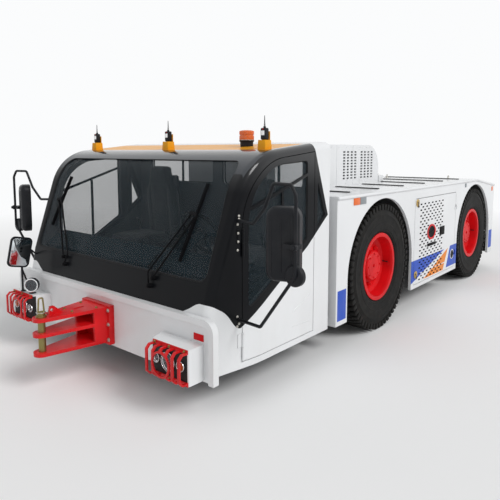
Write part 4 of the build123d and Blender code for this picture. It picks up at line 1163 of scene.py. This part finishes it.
# %% Beacon
def fluted(low, high, radius, count=28, depth=0.0022):
    """A drum with upright flutes and softly closed ends."""
    part = bmesh.new()
    bmesh.ops.create_circle(part, cap_ends=True, radius=radius, segments=count * 4)
    for index, vert in enumerate(part.verts):
        vert.co.xy *= 1 - depth / radius * (index % 4 == 0)
    levels = [(low, 0.97), (low + 0.003, 1.0), (high - 0.004, 1.0), (high, 0.94)]
    face = part.faces[:][0]
    bmesh.ops.translate(part, vec=(0, 0, levels[0][0]), verts=part.verts)
    bmesh.ops.scale(part, vec=(levels[0][1],) * 2 + (1,), verts=part.verts)
    last = levels[0]
    for level, scale in levels[1:]:
        moved = bmesh.ops.extrude_discrete_faces(part, faces=[face])["faces"]
        face = moved[0]
        bmesh.ops.translate(part, vec=(0, 0, level - last[0]), verts=face.verts)
        bmesh.ops.scale(part, vec=(scale / last[1],) * 2 + (1,), verts=face.verts)
        last = (level, scale)
    bmesh.ops.recalc_face_normals(part, faces=part.faces)
    return part


LENS_RADIUS = 0.0595
beacon_foot = to(at(1.380, 0.700, 0))
base = turned([(0.0005, 1.762), (0.052, 1.762), (0.054, 1.800), (0.0605, 1.803),
               (0.0605, 1.812), (0.054, 1.816), (0.0005, 1.816)], 48)
piece("beacon_base", join(bmesh.new(), base, beacon_foot), mirror_black, "chassis")
lens = fluted(1.817, 1.852, LENS_RADIUS)
join(lens, turned([(0.0005, 1.852), (0.0545, 1.852), (0.0545, 1.857), (0.0005, 1.857)], 48))
join(lens, fluted(1.857, 1.888, LENS_RADIUS))
join(lens, turned([(0.0005, 1.8945), (0.022, 1.8942), (0.044, 1.892), (0.0552, 1.888),
                   (0.0552, 1.886), (0.0005, 1.886)], 48))
beacon_lens = piece("beacon_lens", join(bmesh.new(), lens, beacon_foot), amber, "chassis")
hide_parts("beacon")
pale_ring = turned([(0.0525, 1.8165), (0.0608, 1.8165), (0.0608, 1.8135), (0.0525, 1.8135)],
                   48, closed=True)
piece("beacon_ring", join(bmesh.new(), pale_ring, beacon_foot), bright_zinc, "chassis")

# %% Aerials
AERIAL_X = 1.600
AERIAL_Y = (0.0, 1.060, -1.060)
COILS, COIL_PITCH = 6, 0.0032
feet, pods, windows, spots = bmesh.new(), bmesh.new(), bmesh.new(), bmesh.new()
for left in AERIAL_Y:
    foot = block((0.084, 0.078, 0.100), 0.004)
    crown = [vert for vert in foot.verts if vert.co.z > 0]
    bmesh.ops.scale(foot, vec=(0.88, 0.86, 1), verts=crown)
    join(feet, foot, to(at(AERIAL_X, left, 1.7575)))
    join(feet, block((0.004, 0.060, 0.066), 0.001), to(at(AERIAL_X - 0.027, left, 1.838)))
    join(pods, block((0.044, 0.050, 0.087), 0.010, 3), to(at(AERIAL_X, left, 1.8518)))
    join(pods, rod(0.010, 0.012, 20, 0.002), to(at(AERIAL_X, left, 1.9005)))
    for coil in range(COILS):
        up = 1.9085 + coil * COIL_PITCH
        join(pods, rod(0.0062, 0.0022, 16, 0.0006), to(at(AERIAL_X, left, up)))
    join(pods, rod(0.0042, 0.0580, 12, 0.001, 0.0022), to(at(AERIAL_X, left, 1.9555)))
    join(windows, block((0.003, 0.030, 0.034), 0.001), to(at(AERIAL_X + 0.0215, left, 1.858)))
    join(spots, rod(0.0055, 0.0024, 20, 0.0008),
         stand(at(AERIAL_X + 0.0222, left, 1.886), (1, 0, 0)))
foot_piece = piece("aerial_feet", feet, roof_yellow, "chassis")
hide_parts("aerials")
piece("aerial_pods", pods, mirror_black, "chassis")
piece("aerial_windows", windows, lamp_silver, "chassis")
piece("aerial_spots", spots, tail_red, "chassis")
print("aerials", len(AERIAL_Y))

# %% [markdown]
# ## Hardware of the service doors and side markers
# Each perforated door has two brass quarter-turn latches with a dark lever, a red ringed
# pull in a black cup, a dark bar below it and a flat black vent box. An oval port with a
# white rim sits in the blue band at its rear end. The side markers are small orange and
# grey lenses. These all lie on the sheet, so each is placed by a touch on it.

# %% Service door hardware
LATCHES = [(-0.798, 1.172), (-0.793, 0.390)]
PULL = (-1.215, 0.815)
PULL_SHAPE = Matrix.Diagonal((1.50, 1.06, 1, 1))
for side, sign in SIDES:
    flip = flipped(sign)
    latches, levers = bmesh.new(), bmesh.new()
    for ahead, up in LATCHES:
        seat = from_side("service_door_left", ahead, up)
        join(latches, rod(0.041, 0.006, 40, 0.0015), flip @ seat @ to((0, 0, 0.003)))
        join(latches, rod(0.027, 0.008, 36, 0.002), flip @ seat @ to((0, 0, 0.0055)))
        lever = block((0.022, 0.080, 0.0065), 0.003)
        join(levers, lever, flip @ seat @ to((0.004, -0.014, 0.0065), (0, 0, 32)))
    body = "service_lid_" + side
    piece("latches_" + side, latches, brass, body)
    piece("latch_levers_" + side, levers, mirror_black, body)
    seat = from_side("side_panel_left", -0.73, PULL[1])
    seat.translation.x = at(PULL[0], 0, 0).x
    cup = turned([(0.0005, 0.0030), (0.054, 0.0030), (0.060, 0.0050), (0.064, 0.0006),
                  (0.0005, 0.0006)], 48)
    join(cup, block((0.100, 0.017, 0.0035), 0.0015), to((0, 0, 0.0052)))
    piece("pull_cup_" + side, join(bmesh.new(), cup, flip @ seat @ PULL_SHAPE), wiper_black,
          body)
    rim = turned([(0.0625, 0.0006), (0.082, 0.0006), (0.0815, 0.0048), (0.079, 0.0066),
                  (0.067, 0.0066), (0.0632, 0.0050)], 56, closed=True)
    piece("pull_ring_" + side, join(bmesh.new(), rim, flip @ seat @ PULL_SHAPE), rim_red, body)
    fittings = bmesh.new()
    for ahead, up, wide, high, thick in ((-1.540, 0.792, 0.140, 0.100, 0.0085),
                                         (-1.225, 0.672, 0.250, 0.034, 0.004)):
        spot = Vector((at(ahead, 0, 0).x, seat.translation.y + 0.0005, up))
        join(fittings, block((wide, high, thick), 0.0025),
             flip @ stand(spot, (0, 1, 0)) @ to((0, 0, thick / 2)))
    piece("door_box_" + side, fittings, wiper_black, body)

# %% Side markers and the oval port
MARKERS = [(0.545, 1.288, 0.110, 0.062, "orange"), (0.430, 1.288, 0.110, 0.062, "grey"),
           (-2.340, 1.285, 0.052, 0.050, "grey"), (-3.520, 1.180, 0.052, 0.060, "orange")]
marker_meshes = {"orange": bmesh.new(), "grey": bmesh.new()}
for ahead, up, wide, high, colour in MARKERS:
    seat = from_side("side_panel_left", ahead, up)
    join(marker_meshes[colour], block((wide, high, 0.006), 0.002),
         Matrix.Translation(seat.translation) @ stand((0, 0, 0), (0, 1, 0)) @ to((0, 0, 0.003)))
reflector_grey = satin("reflector_grey", (0.28, 0.31, 0.33, 1), 0.3, 900, dust=0.05)
reflector_orange = satin("reflector_orange", (0.90, 0.16, 0.008, 1), 0.25, 900, dust=0.03)
piece("orange_markers", both(marker_meshes["orange"]), reflector_orange, "chassis")
piece("grey_markers", both(marker_meshes["grey"]), reflector_grey, "chassis")

port = from_side("service_door_left", -1.905, 0.452)
oval = [(0.046 * math.cos(a), 0.052 * math.sin(a))
        for a in (math.tau * step / 40 for step in range(40))]
outer = [(x * 1.32 + 0.005, y * 1.18) for x, y in oval]
for side, sign in SIDES:
    port_rim = join(bmesh.new(), plate(outer, 0.004, 0.0012), flipped(sign) @ port)
    port_hole = join(bmesh.new(), plate(oval, 0.0048, 0.0004), flipped(sign) @ port)
    piece("port_rim_" + side, port_rim, white_paint, "service_lid_" + side)
    piece("port_hole_" + side, port_hole, rubber_black, "service_lid_" + side)
print("side hardware ready")

# %% [markdown]
# ## Seats
# The two seats are the only soft things on the tractor. A cushion that is only a rounded
# block looks like wood, so the foam is blown up as cloth: the block is remeshed into even
# squares, pressure pushes it out for twenty frames, and its seams and its flat underside
# are pinned so that they pull in. One seat is made at the left and mirrored to the right.


# %% The woven cover
def seat_cloth():
    """A dark woven cover with a tight two-way weave."""
    finish = Finish("seat_cloth")
    x, y, z = finish.xyz()
    weave = (x * 1900.0).wave() * (y * 1900.0 + z * 1900.0).wave()
    tone = finish.noise(14, 4).ramp(0.3, 0.8)
    colour = finish.mix(tone, (0.020, 0.021, 0.024, 1), (0.040, 0.042, 0.046, 1))
    inputs = {"Base Color": finish.mix(weave.ramp(-0.6, 0.9) * 0.5, colour, grey(0.065)),
              "Roughness": 0.85 + tone * 0.08, "Sheen Weight": 0.25, "Sheen Roughness": 0.5}
    return finish.surface(inputs, weave, 0.0004)


# %% [markdown]
# ## Blowing up foam
# The cloth modifier needs an even mesh, so a form is remeshed into small squares first.
# After the frames have run, no point may stand further from its start than a limit, which
# keeps the cushion inside its solid's space and its seams straight.

# %% Cloth for cushions
CLOTH_FRAMES = 20
VOXEL = 0.012


def remeshed(mesh, voxel):
    data = bpy.data.meshes.new("block")
    mesh.to_mesh(data)
    mesh.free()
    made = bpy.data.objects.new("block", data)
    bpy.context.scene.collection.objects.link(made)
    squares = made.modifiers.new("squares", "REMESH")
    squares.mode = "VOXEL"
    squares.voxel_size = voxel
    return settled(made)


def settled(made):
    """Apply an object's modifiers and give back its mesh; the object goes."""
    seen = made.evaluated_get(bpy.context.evaluated_depsgraph_get())
    data = bpy.data.meshes.new_from_object(seen)
    mesh = bmesh.new()
    mesh.from_mesh(data)
    old = made.data
    bpy.data.objects.remove(made)
    bpy.data.meshes.remove(old)
    bpy.data.meshes.remove(data)
    return mesh


def blown(mesh, held, limit, pressure=4.0):
    """Blow a remeshed form up as cloth. held gives how tightly a point is pinned."""
    data = bpy.data.meshes.new("cloth")
    mesh.to_mesh(data)
    before = [vert.co.copy() for vert in mesh.verts]
    mesh.free()
    made = bpy.data.objects.new("cloth", data)
    bpy.context.scene.collection.objects.link(made)
    pins = made.vertex_groups.new(name="pins")
    for index, place in enumerate(before):
        pins.add([index], held(place), "REPLACE")
    cloth = made.modifiers.new("foam", "CLOTH")
    cloth.settings.use_pressure = True
    cloth.settings.uniform_pressure_force = pressure
    cloth.settings.effector_weights.gravity = 0
    cloth.settings.vertex_group_mass = "pins"
    cloth.settings.quality = 4
    for step in range(1, CLOTH_FRAMES + 1):
        bpy.context.scene.frame_set(step)
    puffed = settled(made)
    for vert, start in zip(puffed.verts, before):
        moved = vert.co - start
        if moved.length > limit:
            vert.co = start + moved.normalized() * limit
    bpy.context.scene.frame_set(1)
    return puffed


def smooth_finish(mesh):
    """One level of subdivision, so that the squares of the remesh don't show."""
    bmesh.ops.smooth_vert(mesh, verts=mesh.verts, factor=0.5, use_axis_x=True, use_axis_y=True,
                          use_axis_z=True)
    bmesh.ops.subdivide_edges(mesh, edges=mesh.edges, cuts=1, use_grid_fill=True, smooth=1.0)
    return mesh


# %% [markdown]
# ## Cushion and back
# Two long seams part the side bolsters from the middle, and short ones cross it. They are
# given as lines: near one the cloth is held, and further off it is free to swell.

# %% Cushion and back
SEAT_Y = 0.600
CUSHION_MIDDLE = at(1.415, SEAT_Y, 0.868)
BACK_MIDDLE = at(1.160, SEAT_Y, 1.215)
CUSHION_SEAM = 0.115
BACK_SEAM = 0.120


def near(value, centre, width):
    """1 on a seam line and 0 away from it."""
    return max(0.0, 1.0 - abs(value - centre) / width)


def hold_cushion(place):
    across = max(near(place.x, -0.10, 0.010), near(place.x, 0.03, 0.010))
    seams = max(near(abs(place.y), CUSHION_SEAM, 0.012), across * (abs(place.y) < CUSHION_SEAM))
    under = 1.0 if place.z < -0.035 else 0.0
    return max(seams, under)


def hold_back(place):
    seams = max(near(abs(place.y), BACK_SEAM, 0.012), near(place.z, 0.20, 0.012),
                near(place.z, -0.10, 0.010) * (abs(place.y) < BACK_SEAM))
    behind = 1.0 if place.x < -0.020 else 0.0
    return max(seams, behind)


cushion = block((0.445, 0.455, 0.095), 0.035, 4)
bolsters = [vert for vert in cushion.verts if abs(vert.co.y) > 0.17 and vert.co.z > 0]
bmesh.ops.translate(cushion, vec=(0, 0, 0.014), verts=bolsters)
cushion = smooth_finish(blown(remeshed(cushion, VOXEL), hold_cushion, 0.022))

back_outline = [(-0.218, -0.36), (0.218, -0.36), (0.205, 0.12), (0.145, 0.215), (0.128, 0.36),
                (-0.128, 0.36), (-0.145, 0.215), (-0.205, 0.12)]
back_rest = plate(back_outline, 0.092, 0.0)
upright = Matrix.Rotation(math.radians(90), 4, "Z") @ Matrix.Rotation(math.radians(90), 4, "X")
bmesh.ops.translate(back_rest, vec=(0, 0, -0.046), verts=back_rest.verts)
bmesh.ops.transform(back_rest, matrix=upright, verts=back_rest.verts)
back_rest = bevelled(back_rest, back_rest.edges, 0.030, 4)
back_rest = smooth_finish(blown(remeshed(back_rest, VOXEL), hold_back, 0.020))

cloth_finish = seat_cloth()
back_lean = Matrix.Rotation(math.radians(5), 4, "Y")
cushions = both(join(bmesh.new(), cushion, to(CUSHION_MIDDLE)))
cushion_piece = piece("seat_cushions", cushions, cloth_finish, "chassis", 60)
backs = both(join(bmesh.new(), back_rest, to(BACK_MIDDLE) @ back_lean))
back_piece = piece("seat_backs", backs, cloth_finish, "chassis", 60)
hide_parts("seats")

# %% [markdown]
# ## Seat frames and belts
# Each seat stands on a sprung pedestal in a folded bellows, with a tray under the cushion,
# a hard shell behind the back, two side guards and a belt with its buckle.

# %% Seat frames and belts
PEDESTAL_X = 1.410
FOLDS, FOLD_PITCH = 5, 0.05
seat_frame = bmesh.new()
join(seat_frame, block((0.290, 0.290, 0.290), 0.012), to(at(PEDESTAL_X, SEAT_Y, 0.600)))
for fold in range(FOLDS):
    join(seat_frame, block((0.310, 0.310, 0.016), 0.006),
         to(at(PEDESTAL_X, SEAT_Y, 0.520 + fold * FOLD_PITCH)))
join(seat_frame, block((0.420, 0.420, 0.045), 0.016), to(at(PEDESTAL_X, SEAT_Y, 0.785)))
join(seat_frame, block((0.050, 0.400, 0.620), 0.020), to(at(1.112, SEAT_Y, 1.180)) @ back_lean)
for left in (-0.235, 0.235):
    join(seat_frame, block((0.300, 0.022, 0.075), 0.010), to(at(1.300, SEAT_Y + left * 0.97, 0.830)))
piece("seat_frames", both(seat_frame), moulded_black, "chassis")

belts = bmesh.new()
join(belts, block((0.024, 0.048, 0.110), 0.006), to(at(1.290, SEAT_Y - 0.218, 0.905), (0, 18, 0)))
join(belts, block((0.012, 0.046, 0.330), 0.004), to(at(1.262, SEAT_Y + 0.205, 0.900), (0, 22, 0)))
piece("seat_belts", both(belts), rubber_black, "chassis")
print("seats ready, puffed by cloth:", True)

# %% [markdown]
# ## Inside the cab
# Through the tinted glass a dark dashboard shows with a binnacle, dials, a screen and rows
# of switches, a padded hand wheel, a lever and pedals. The dials carry plain ticks only.
# The ticks are copies of one short bar turned about the dial's middle.


# %% The hand wheel
HAND_WHEEL_RADIUS = 0.190
GRIPS = 12
COLUMN_LEAN = math.radians(-60)
WHEEL_MIDDLE = at(1.795, SEAT_Y, 1.093)
wheel_turn = stand(WHEEL_MIDDLE, Matrix.Rotation(COLUMN_LEAN, 3, "Y") @ Vector((0, 0, 1)))


def ring(radius, thickness, steps=64, sides=12):
    """A torus about Z, spun from one circle."""
    outline = [(radius + thickness * math.cos(a), thickness * math.sin(a))
               for a in (math.tau * side / sides for side in range(sides))]
    return turned(outline, steps, closed=True)


hand_wheel = bmesh.new()
join(hand_wheel, ring(HAND_WHEEL_RADIUS, 0.0165), wheel_turn)
for grip in range(GRIPS):
    turn = Matrix.Rotation(math.tau * grip / GRIPS, 4, "Z")
    join(hand_wheel, rod(0.0168, 0.010, 12, 0.003),
         wheel_turn @ turn @ to((HAND_WHEEL_RADIUS, 0, 0), (90, 0, 0)))
join(hand_wheel, rod(0.062, 0.030, 40, 0.010), wheel_turn)
join(hand_wheel, rod(0.034, 0.012, 32, 0.004), wheel_turn @ to((0, 0, 0.018)))
piece("hand_wheel_rim", hand_wheel, rubber_black, "chassis")

# %% Dials
dial_faces, dial_rims, ticks = bmesh.new(), bmesh.new(), bmesh.new()
panel = at(1.949, 0, 0.845)
DIALS = [(0.740, 0.045), (0.600, 0.060), (0.460, 0.045), (0.350, 0.030)]
TICKS, TICK_STEP = 11, 30
NEEDLE = -110
for left, radius in DIALS:
    seat = stand(panel + Vector((0, left, 0)), (-1, 0, 0))
    join(dial_faces, rod(radius * 0.92, 0.004, 36, 0.0008), seat @ to((0, 0, 0.002)))
    join(dial_rims, bezel(radius * 0.92, radius * 0.10, 0.009), seat)
    for tick in range(TICKS):
        turn = Matrix.Rotation(math.radians((tick - TICKS // 2) * TICK_STEP), 4, "Z")
        join(ticks, block((radius * 0.035, radius * 0.16, 0.0008)),
             seat @ turn @ to((0, radius * 0.76, 0.0045)))
    turn = Matrix.Rotation(math.radians(NEEDLE), 4, "Z")
    join(ticks, block((radius * 0.05, radius * 0.70, 0.001)),
         seat @ turn @ to((0, radius * 0.28, 0.0050)))
piece("dial_faces", dial_faces, rubber_black, "chassis")
piece("dial_rims", dial_rims, bright_zinc, "chassis")
piece("dial_ticks", ticks, reflector_grey, "chassis")

# %% Switches, the screen, pedals and the lever
SWITCH_ROWS, SWITCH_COLUMNS = 2, 9
PEDALS = (0.470, 0.560, 0.690)
switches = bmesh.new()
for row in range(SWITCH_ROWS):
    for column in range(SWITCH_COLUMNS):
        join(switches, block((0.010, 0.030, 0.020), 0.003),
             to(panel + Vector((-0.003, -0.10 - column * 0.052, 0.045 - row * 0.050))))
join(switches, block((0.012, 0.240, 0.150), 0.006), to(panel + Vector((-0.004, 0.130, -0.01))))
for left in PEDALS:
    join(switches, block((0.020, 0.062, 0.090), 0.006), to(at(1.975, left, 0.520), (0, 30, 0)))
bar(switches, at(1.480, 0.235, 0.560), at(1.520, 0.235, 0.900), 0.011, 12, 0.002)
join(switches, rod(0.024, 0.055, 20, 0.014), to(at(1.523, 0.235, 0.915), (0, 7, 0)))
join(switches, block((0.300, 0.150, 0.110), 0.015), to(at(1.480, 0.235, 0.506)))
piece("switches", switches, moulded_black, "chassis")

# %% [markdown]
# ## Wiper details
# The wiper arms and blades are solids already. What is missing up close is the pivot caps,
# the return springs on the long arms and the soft rubber edge that touches the glass.

# %% Wipers
BLADES = [((0.800, 0.966), (0.893, 1.500)), ((-0.934, 1.060), (-0.844, 1.495))]
PANE_SINK = 0.010
SPRING_TURNS = 24


def on_screen(left, up, lift):
    """A point above the windscreen, at a distance from its pane."""
    share = (up - SCREEN_FOOT.z) / (SCREEN_HEAD.z - SCREEN_FOOT.z)
    place = SCREEN_FOOT.lerp(SCREEN_HEAD, share) + screen_out * (lift - PANE_SINK)
    return Vector((place.x, left, place.z))


edges = bmesh.new()
for (y0, z0), (y1, z1) in BLADES:
    for lift in (0.0030, 0.0245):
        bar(edges, on_screen(y0, z0, lift), on_screen(y1, z1, lift), 0.0042, 8, 0.001)
piece("wiper_edges", edges, wiper_black, "chassis")
PIVOTS = [(0.560, 0.768), (0.590, 0.826), (-0.560, 0.768), (-0.590, 0.826)]
caps = bmesh.new()
cowl_out = Vector((0.200, 0, 0.042)).normalized()
for left, up in PIVOTS:
    foot = at(2.300 - (up - 0.640) * 0.21, left, up)
    join(caps, rod(0.0125, 0.010, 20, 0.003), stand(foot + cowl_out * 0.036, cowl_out))
for side, sign in SIDES:
    start = on_screen(sign * 0.530, 0.880, 0.047)
    end = on_screen(sign * 0.600, 0.985, 0.045)
    for step in range(SPRING_TURNS):
        place = start.lerp(end, (step + 0.5) / SPRING_TURNS)
        join(caps, ring(0.0050, 0.0011, 12, 5), stand(place, end - start))
piece("wiper_caps", caps, wiper_black, "chassis")
print("wiper details ready")

# %% [markdown]
# ## Deck, housing and tail
# The deck has a rolled white lip along both sides, lifting eyes at the back and a small
# control box behind the housing. Near black strips lie in its slots as painted shade of the
# gaps and stand a little proud of it, and the last pair follows the slope of the tail. Domed
# rivets run along the foot and the shoulder of the housing, except where its rear end is
# rounded.

# %% Rivets and seams of the housing
RIVETS, RIVET_PITCH = 12, 0.155
HOUSING_SIDE = 0.570
rivets = bmesh.new()
for step in range(RIVETS):
    ahead = 0.790 - step * RIVET_PITCH
    for up in (1.375, 1.768):
        if ahead < -0.96 and up > 1.5:
            continue
        seat = from_side("cooling_housing", ahead, up, 1.5)
        join(rivets, rod(0.0068, 0.004, 12, 0.0015), seat @ to((0, 0, 0.001)))
piece("housing_rivets", both(rivets), white_paint, "chassis")

seam = bmesh.new()
for ahead in (-0.600, -0.250, 0.290):
    bar(seam, at(ahead, HOUSING_SIDE, deck_z + 0.004), at(ahead, HOUSING_SIDE, 1.786), 0.0028, 8)
piece("housing_seams", both(seam), white_paint, "chassis")

# %% The control box and the lifting eyes
control = bmesh.new()
join(control, block((0.120, 0.130, 0.085), 0.008), to(at(-1.330, 0.495, deck_z + 0.0425)))
piece("control_box", control, white_paint, "chassis")
STUDS, STUD_PITCH = 3, 0.034
studs = bmesh.new()
for stud in range(STUDS):
    join(studs, rod(0.0075, 0.018, 16, 0.003),
         to(at(-1.295 - stud * STUD_PITCH, 0.495, deck_z + 0.092)))
piece("deck_studs", studs, chassis_black, "chassis")
eyes = bmesh.new()
for ahead, left in ((-2.600, 0.930), (-2.350, 0.150)):
    foot = at(ahead, left, deck_z)
    join(eyes, block((0.070, 0.044, 0.006), 0.002), to(foot + Vector((0, 0, 0.003))))
    join(eyes, ring(0.020, 0.0050, 32, 10), to(foot + Vector((0, 0, 0.024)), (90, 0, 0)))
piece("lifting_eyes", both(eyes), bright_zinc, "chassis")

# %% Painted shade strips in the deck's slots, and its lip
STRIP_WIDTH, STRIP_HEIGHT, STRIP_RISE = 0.047, 0.020, 0.009
STRIP_OUTER, BESIDE_HOUSING, BEHIND_HOUSING = 1.098, 0.612, 0.062
DECK_SLOTS = {0.410: BESIDE_HOUSING, -0.175: BESIDE_HOUSING, -0.760: BESIDE_HOUSING,
              -1.345: BEHIND_HOUSING, -1.930: BEHIND_HOUSING, -2.515: BEHIND_HOUSING}
strip_up = deck_z + STRIP_RISE - STRIP_HEIGHT / 2
# Painted shade: near black strips in the slots stand for the shade in the gaps between the deck
# plates.
shade_strips = bmesh.new()
for ahead, inner in DECK_SLOTS.items():
    strip = block((STRIP_WIDTH, STRIP_OUTER - inner, STRIP_HEIGHT), 0.004)
    join(shade_strips, strip, to(at(ahead, (inner + STRIP_OUTER) / 2, strip_up)))
TAIL_FALL, TAIL_RUN = 0.105, 0.798
slope = math.degrees(math.atan2(TAIL_FALL, TAIL_RUN))
strip = block((STRIP_WIDTH, STRIP_OUTER - BEHIND_HOUSING, STRIP_HEIGHT), 0.004)
join(shade_strips, strip, to(at(-3.100, 0.580, strip_up - 0.0368), (0, -slope, 0)))
piece("deck_slot_shade", both(shade_strips), rubber_black, "chassis")

LIP_LINE = [(0.868, deck_z - 0.0155), (-2.820, deck_z - 0.0155), (-3.618, deck_z - 0.120)]
lip_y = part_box("deck")[1].y - 0.009
lip = bmesh.new()
for (x0, z0), (x1, z1) in zip(LIP_LINE, LIP_LINE[1:]):
    bar(lip, at(x0, lip_y, z0), at(x1, lip_y, z1), 0.0155, 16, 0.004)
piece("deck_lip", both(lip), white_paint, "chassis")

# %% [markdown]
# ## Tail lamps, flaps and a pipe fitting
# The tail lamps are split lenses: red, amber and clear. Their ribs are a millimetre high,
# so bump is enough for them. Each lamp sits in a black frame. Rubber flaps hang behind the
# rear wheels, and a small elbow fitting stands on the wall of the wheel bay.


# %% Tail lamps
def tail_lens():
    """Red outside, amber in the middle and clear inside, with fine upright ribs."""
    finish = Finish("tail_lens")
    y = finish.xyz()[1]
    side = y.size()
    red_from, clear_to = 0.975, 0.860
    colour = finish.mix((side - red_from).step(0.002), (0.85, 0.20, 0.01, 1),
                        (0.62, 0.006, 0.008, 1))
    colour = finish.mix((clear_to - side).step(0.002), colour, (0.62, 0.64, 0.66, 1))
    ribs = (y * 900.0).wave()
    border = (side - red_from).size().least((side - clear_to).size())
    colour = finish.mix((0.003 - border).step(0.001), colour, (0.02, 0.02, 0.02, 1))
    return finish.surface({"Base Color": colour, "Roughness": 0.12 + ribs * 0.02}, ribs, 0.0010)


tail_finish = tail_lens()
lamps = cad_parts["tail_lamps"]
lamps.data.materials.clear()
lamps.data.materials.append(tail_finish)
tail_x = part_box("tail_panel")[0].x
bezels = bmesh.new()
frame_outline = rounded(0.366, 0.146, 0.012)
frame_piece = plate(frame_outline, 0.006, 0.0)
for face in [face for face in frame_piece.faces if len(face.verts) > 4]:
    bmesh.ops.inset_region(frame_piece, faces=[face], thickness=0.0075, depth=-0.0035)
join(bezels, frame_piece, stand(Vector((tail_x + 0.0035, 0.945, 0.715)), (-1, 0, 0))
     @ Matrix.Rotation(math.radians(90), 4, "Z"))
piece("tail_bezels", both(bezels), rubber_black, "chassis")

# %% Flaps and the fitting behind the rear wheel
bay_wall = touch("arch_liners_rear", at(-2.75, 1.175, 0.530), Vector((-1, 0, 0)))
flaps, fitting = bmesh.new(), bmesh.new()
wall_x = bay_wall.translation.x
join(flaps, block((0.008, 0.290, 0.215), 0.002), to((wall_x + 0.0045, 1.060, 0.362)))
for left in (0.955, 1.060, 1.165):
    join(flaps, bolt(0.006, 0.005), stand((wall_x + 0.0085, left, 0.448), (1, 0, 0)))
piece("rear_flaps", both(flaps), rubber_black, "chassis")
join(fitting, rod(0.030, 0.008, 24, 0.002), bay_wall @ to((0, 0, 0.0045)))
join(fitting, rod(0.017, 0.014, 24, 0.004), bay_wall @ to((0, 0, 0.011)))
elbow = bay_wall.translation + Vector((0.013, 0, 0))
bar(fitting, elbow, elbow + Vector((0, 0.005, 0.050)), 0.0105, 16, 0.003)
bar(fitting, elbow + Vector((0, 0.003, 0.044)), elbow + Vector((0, -0.045, 0.056)), 0.0095, 16,
    0.003)
piece("rear_fittings", both(fitting), white_paint, "chassis")
print("tail ready")
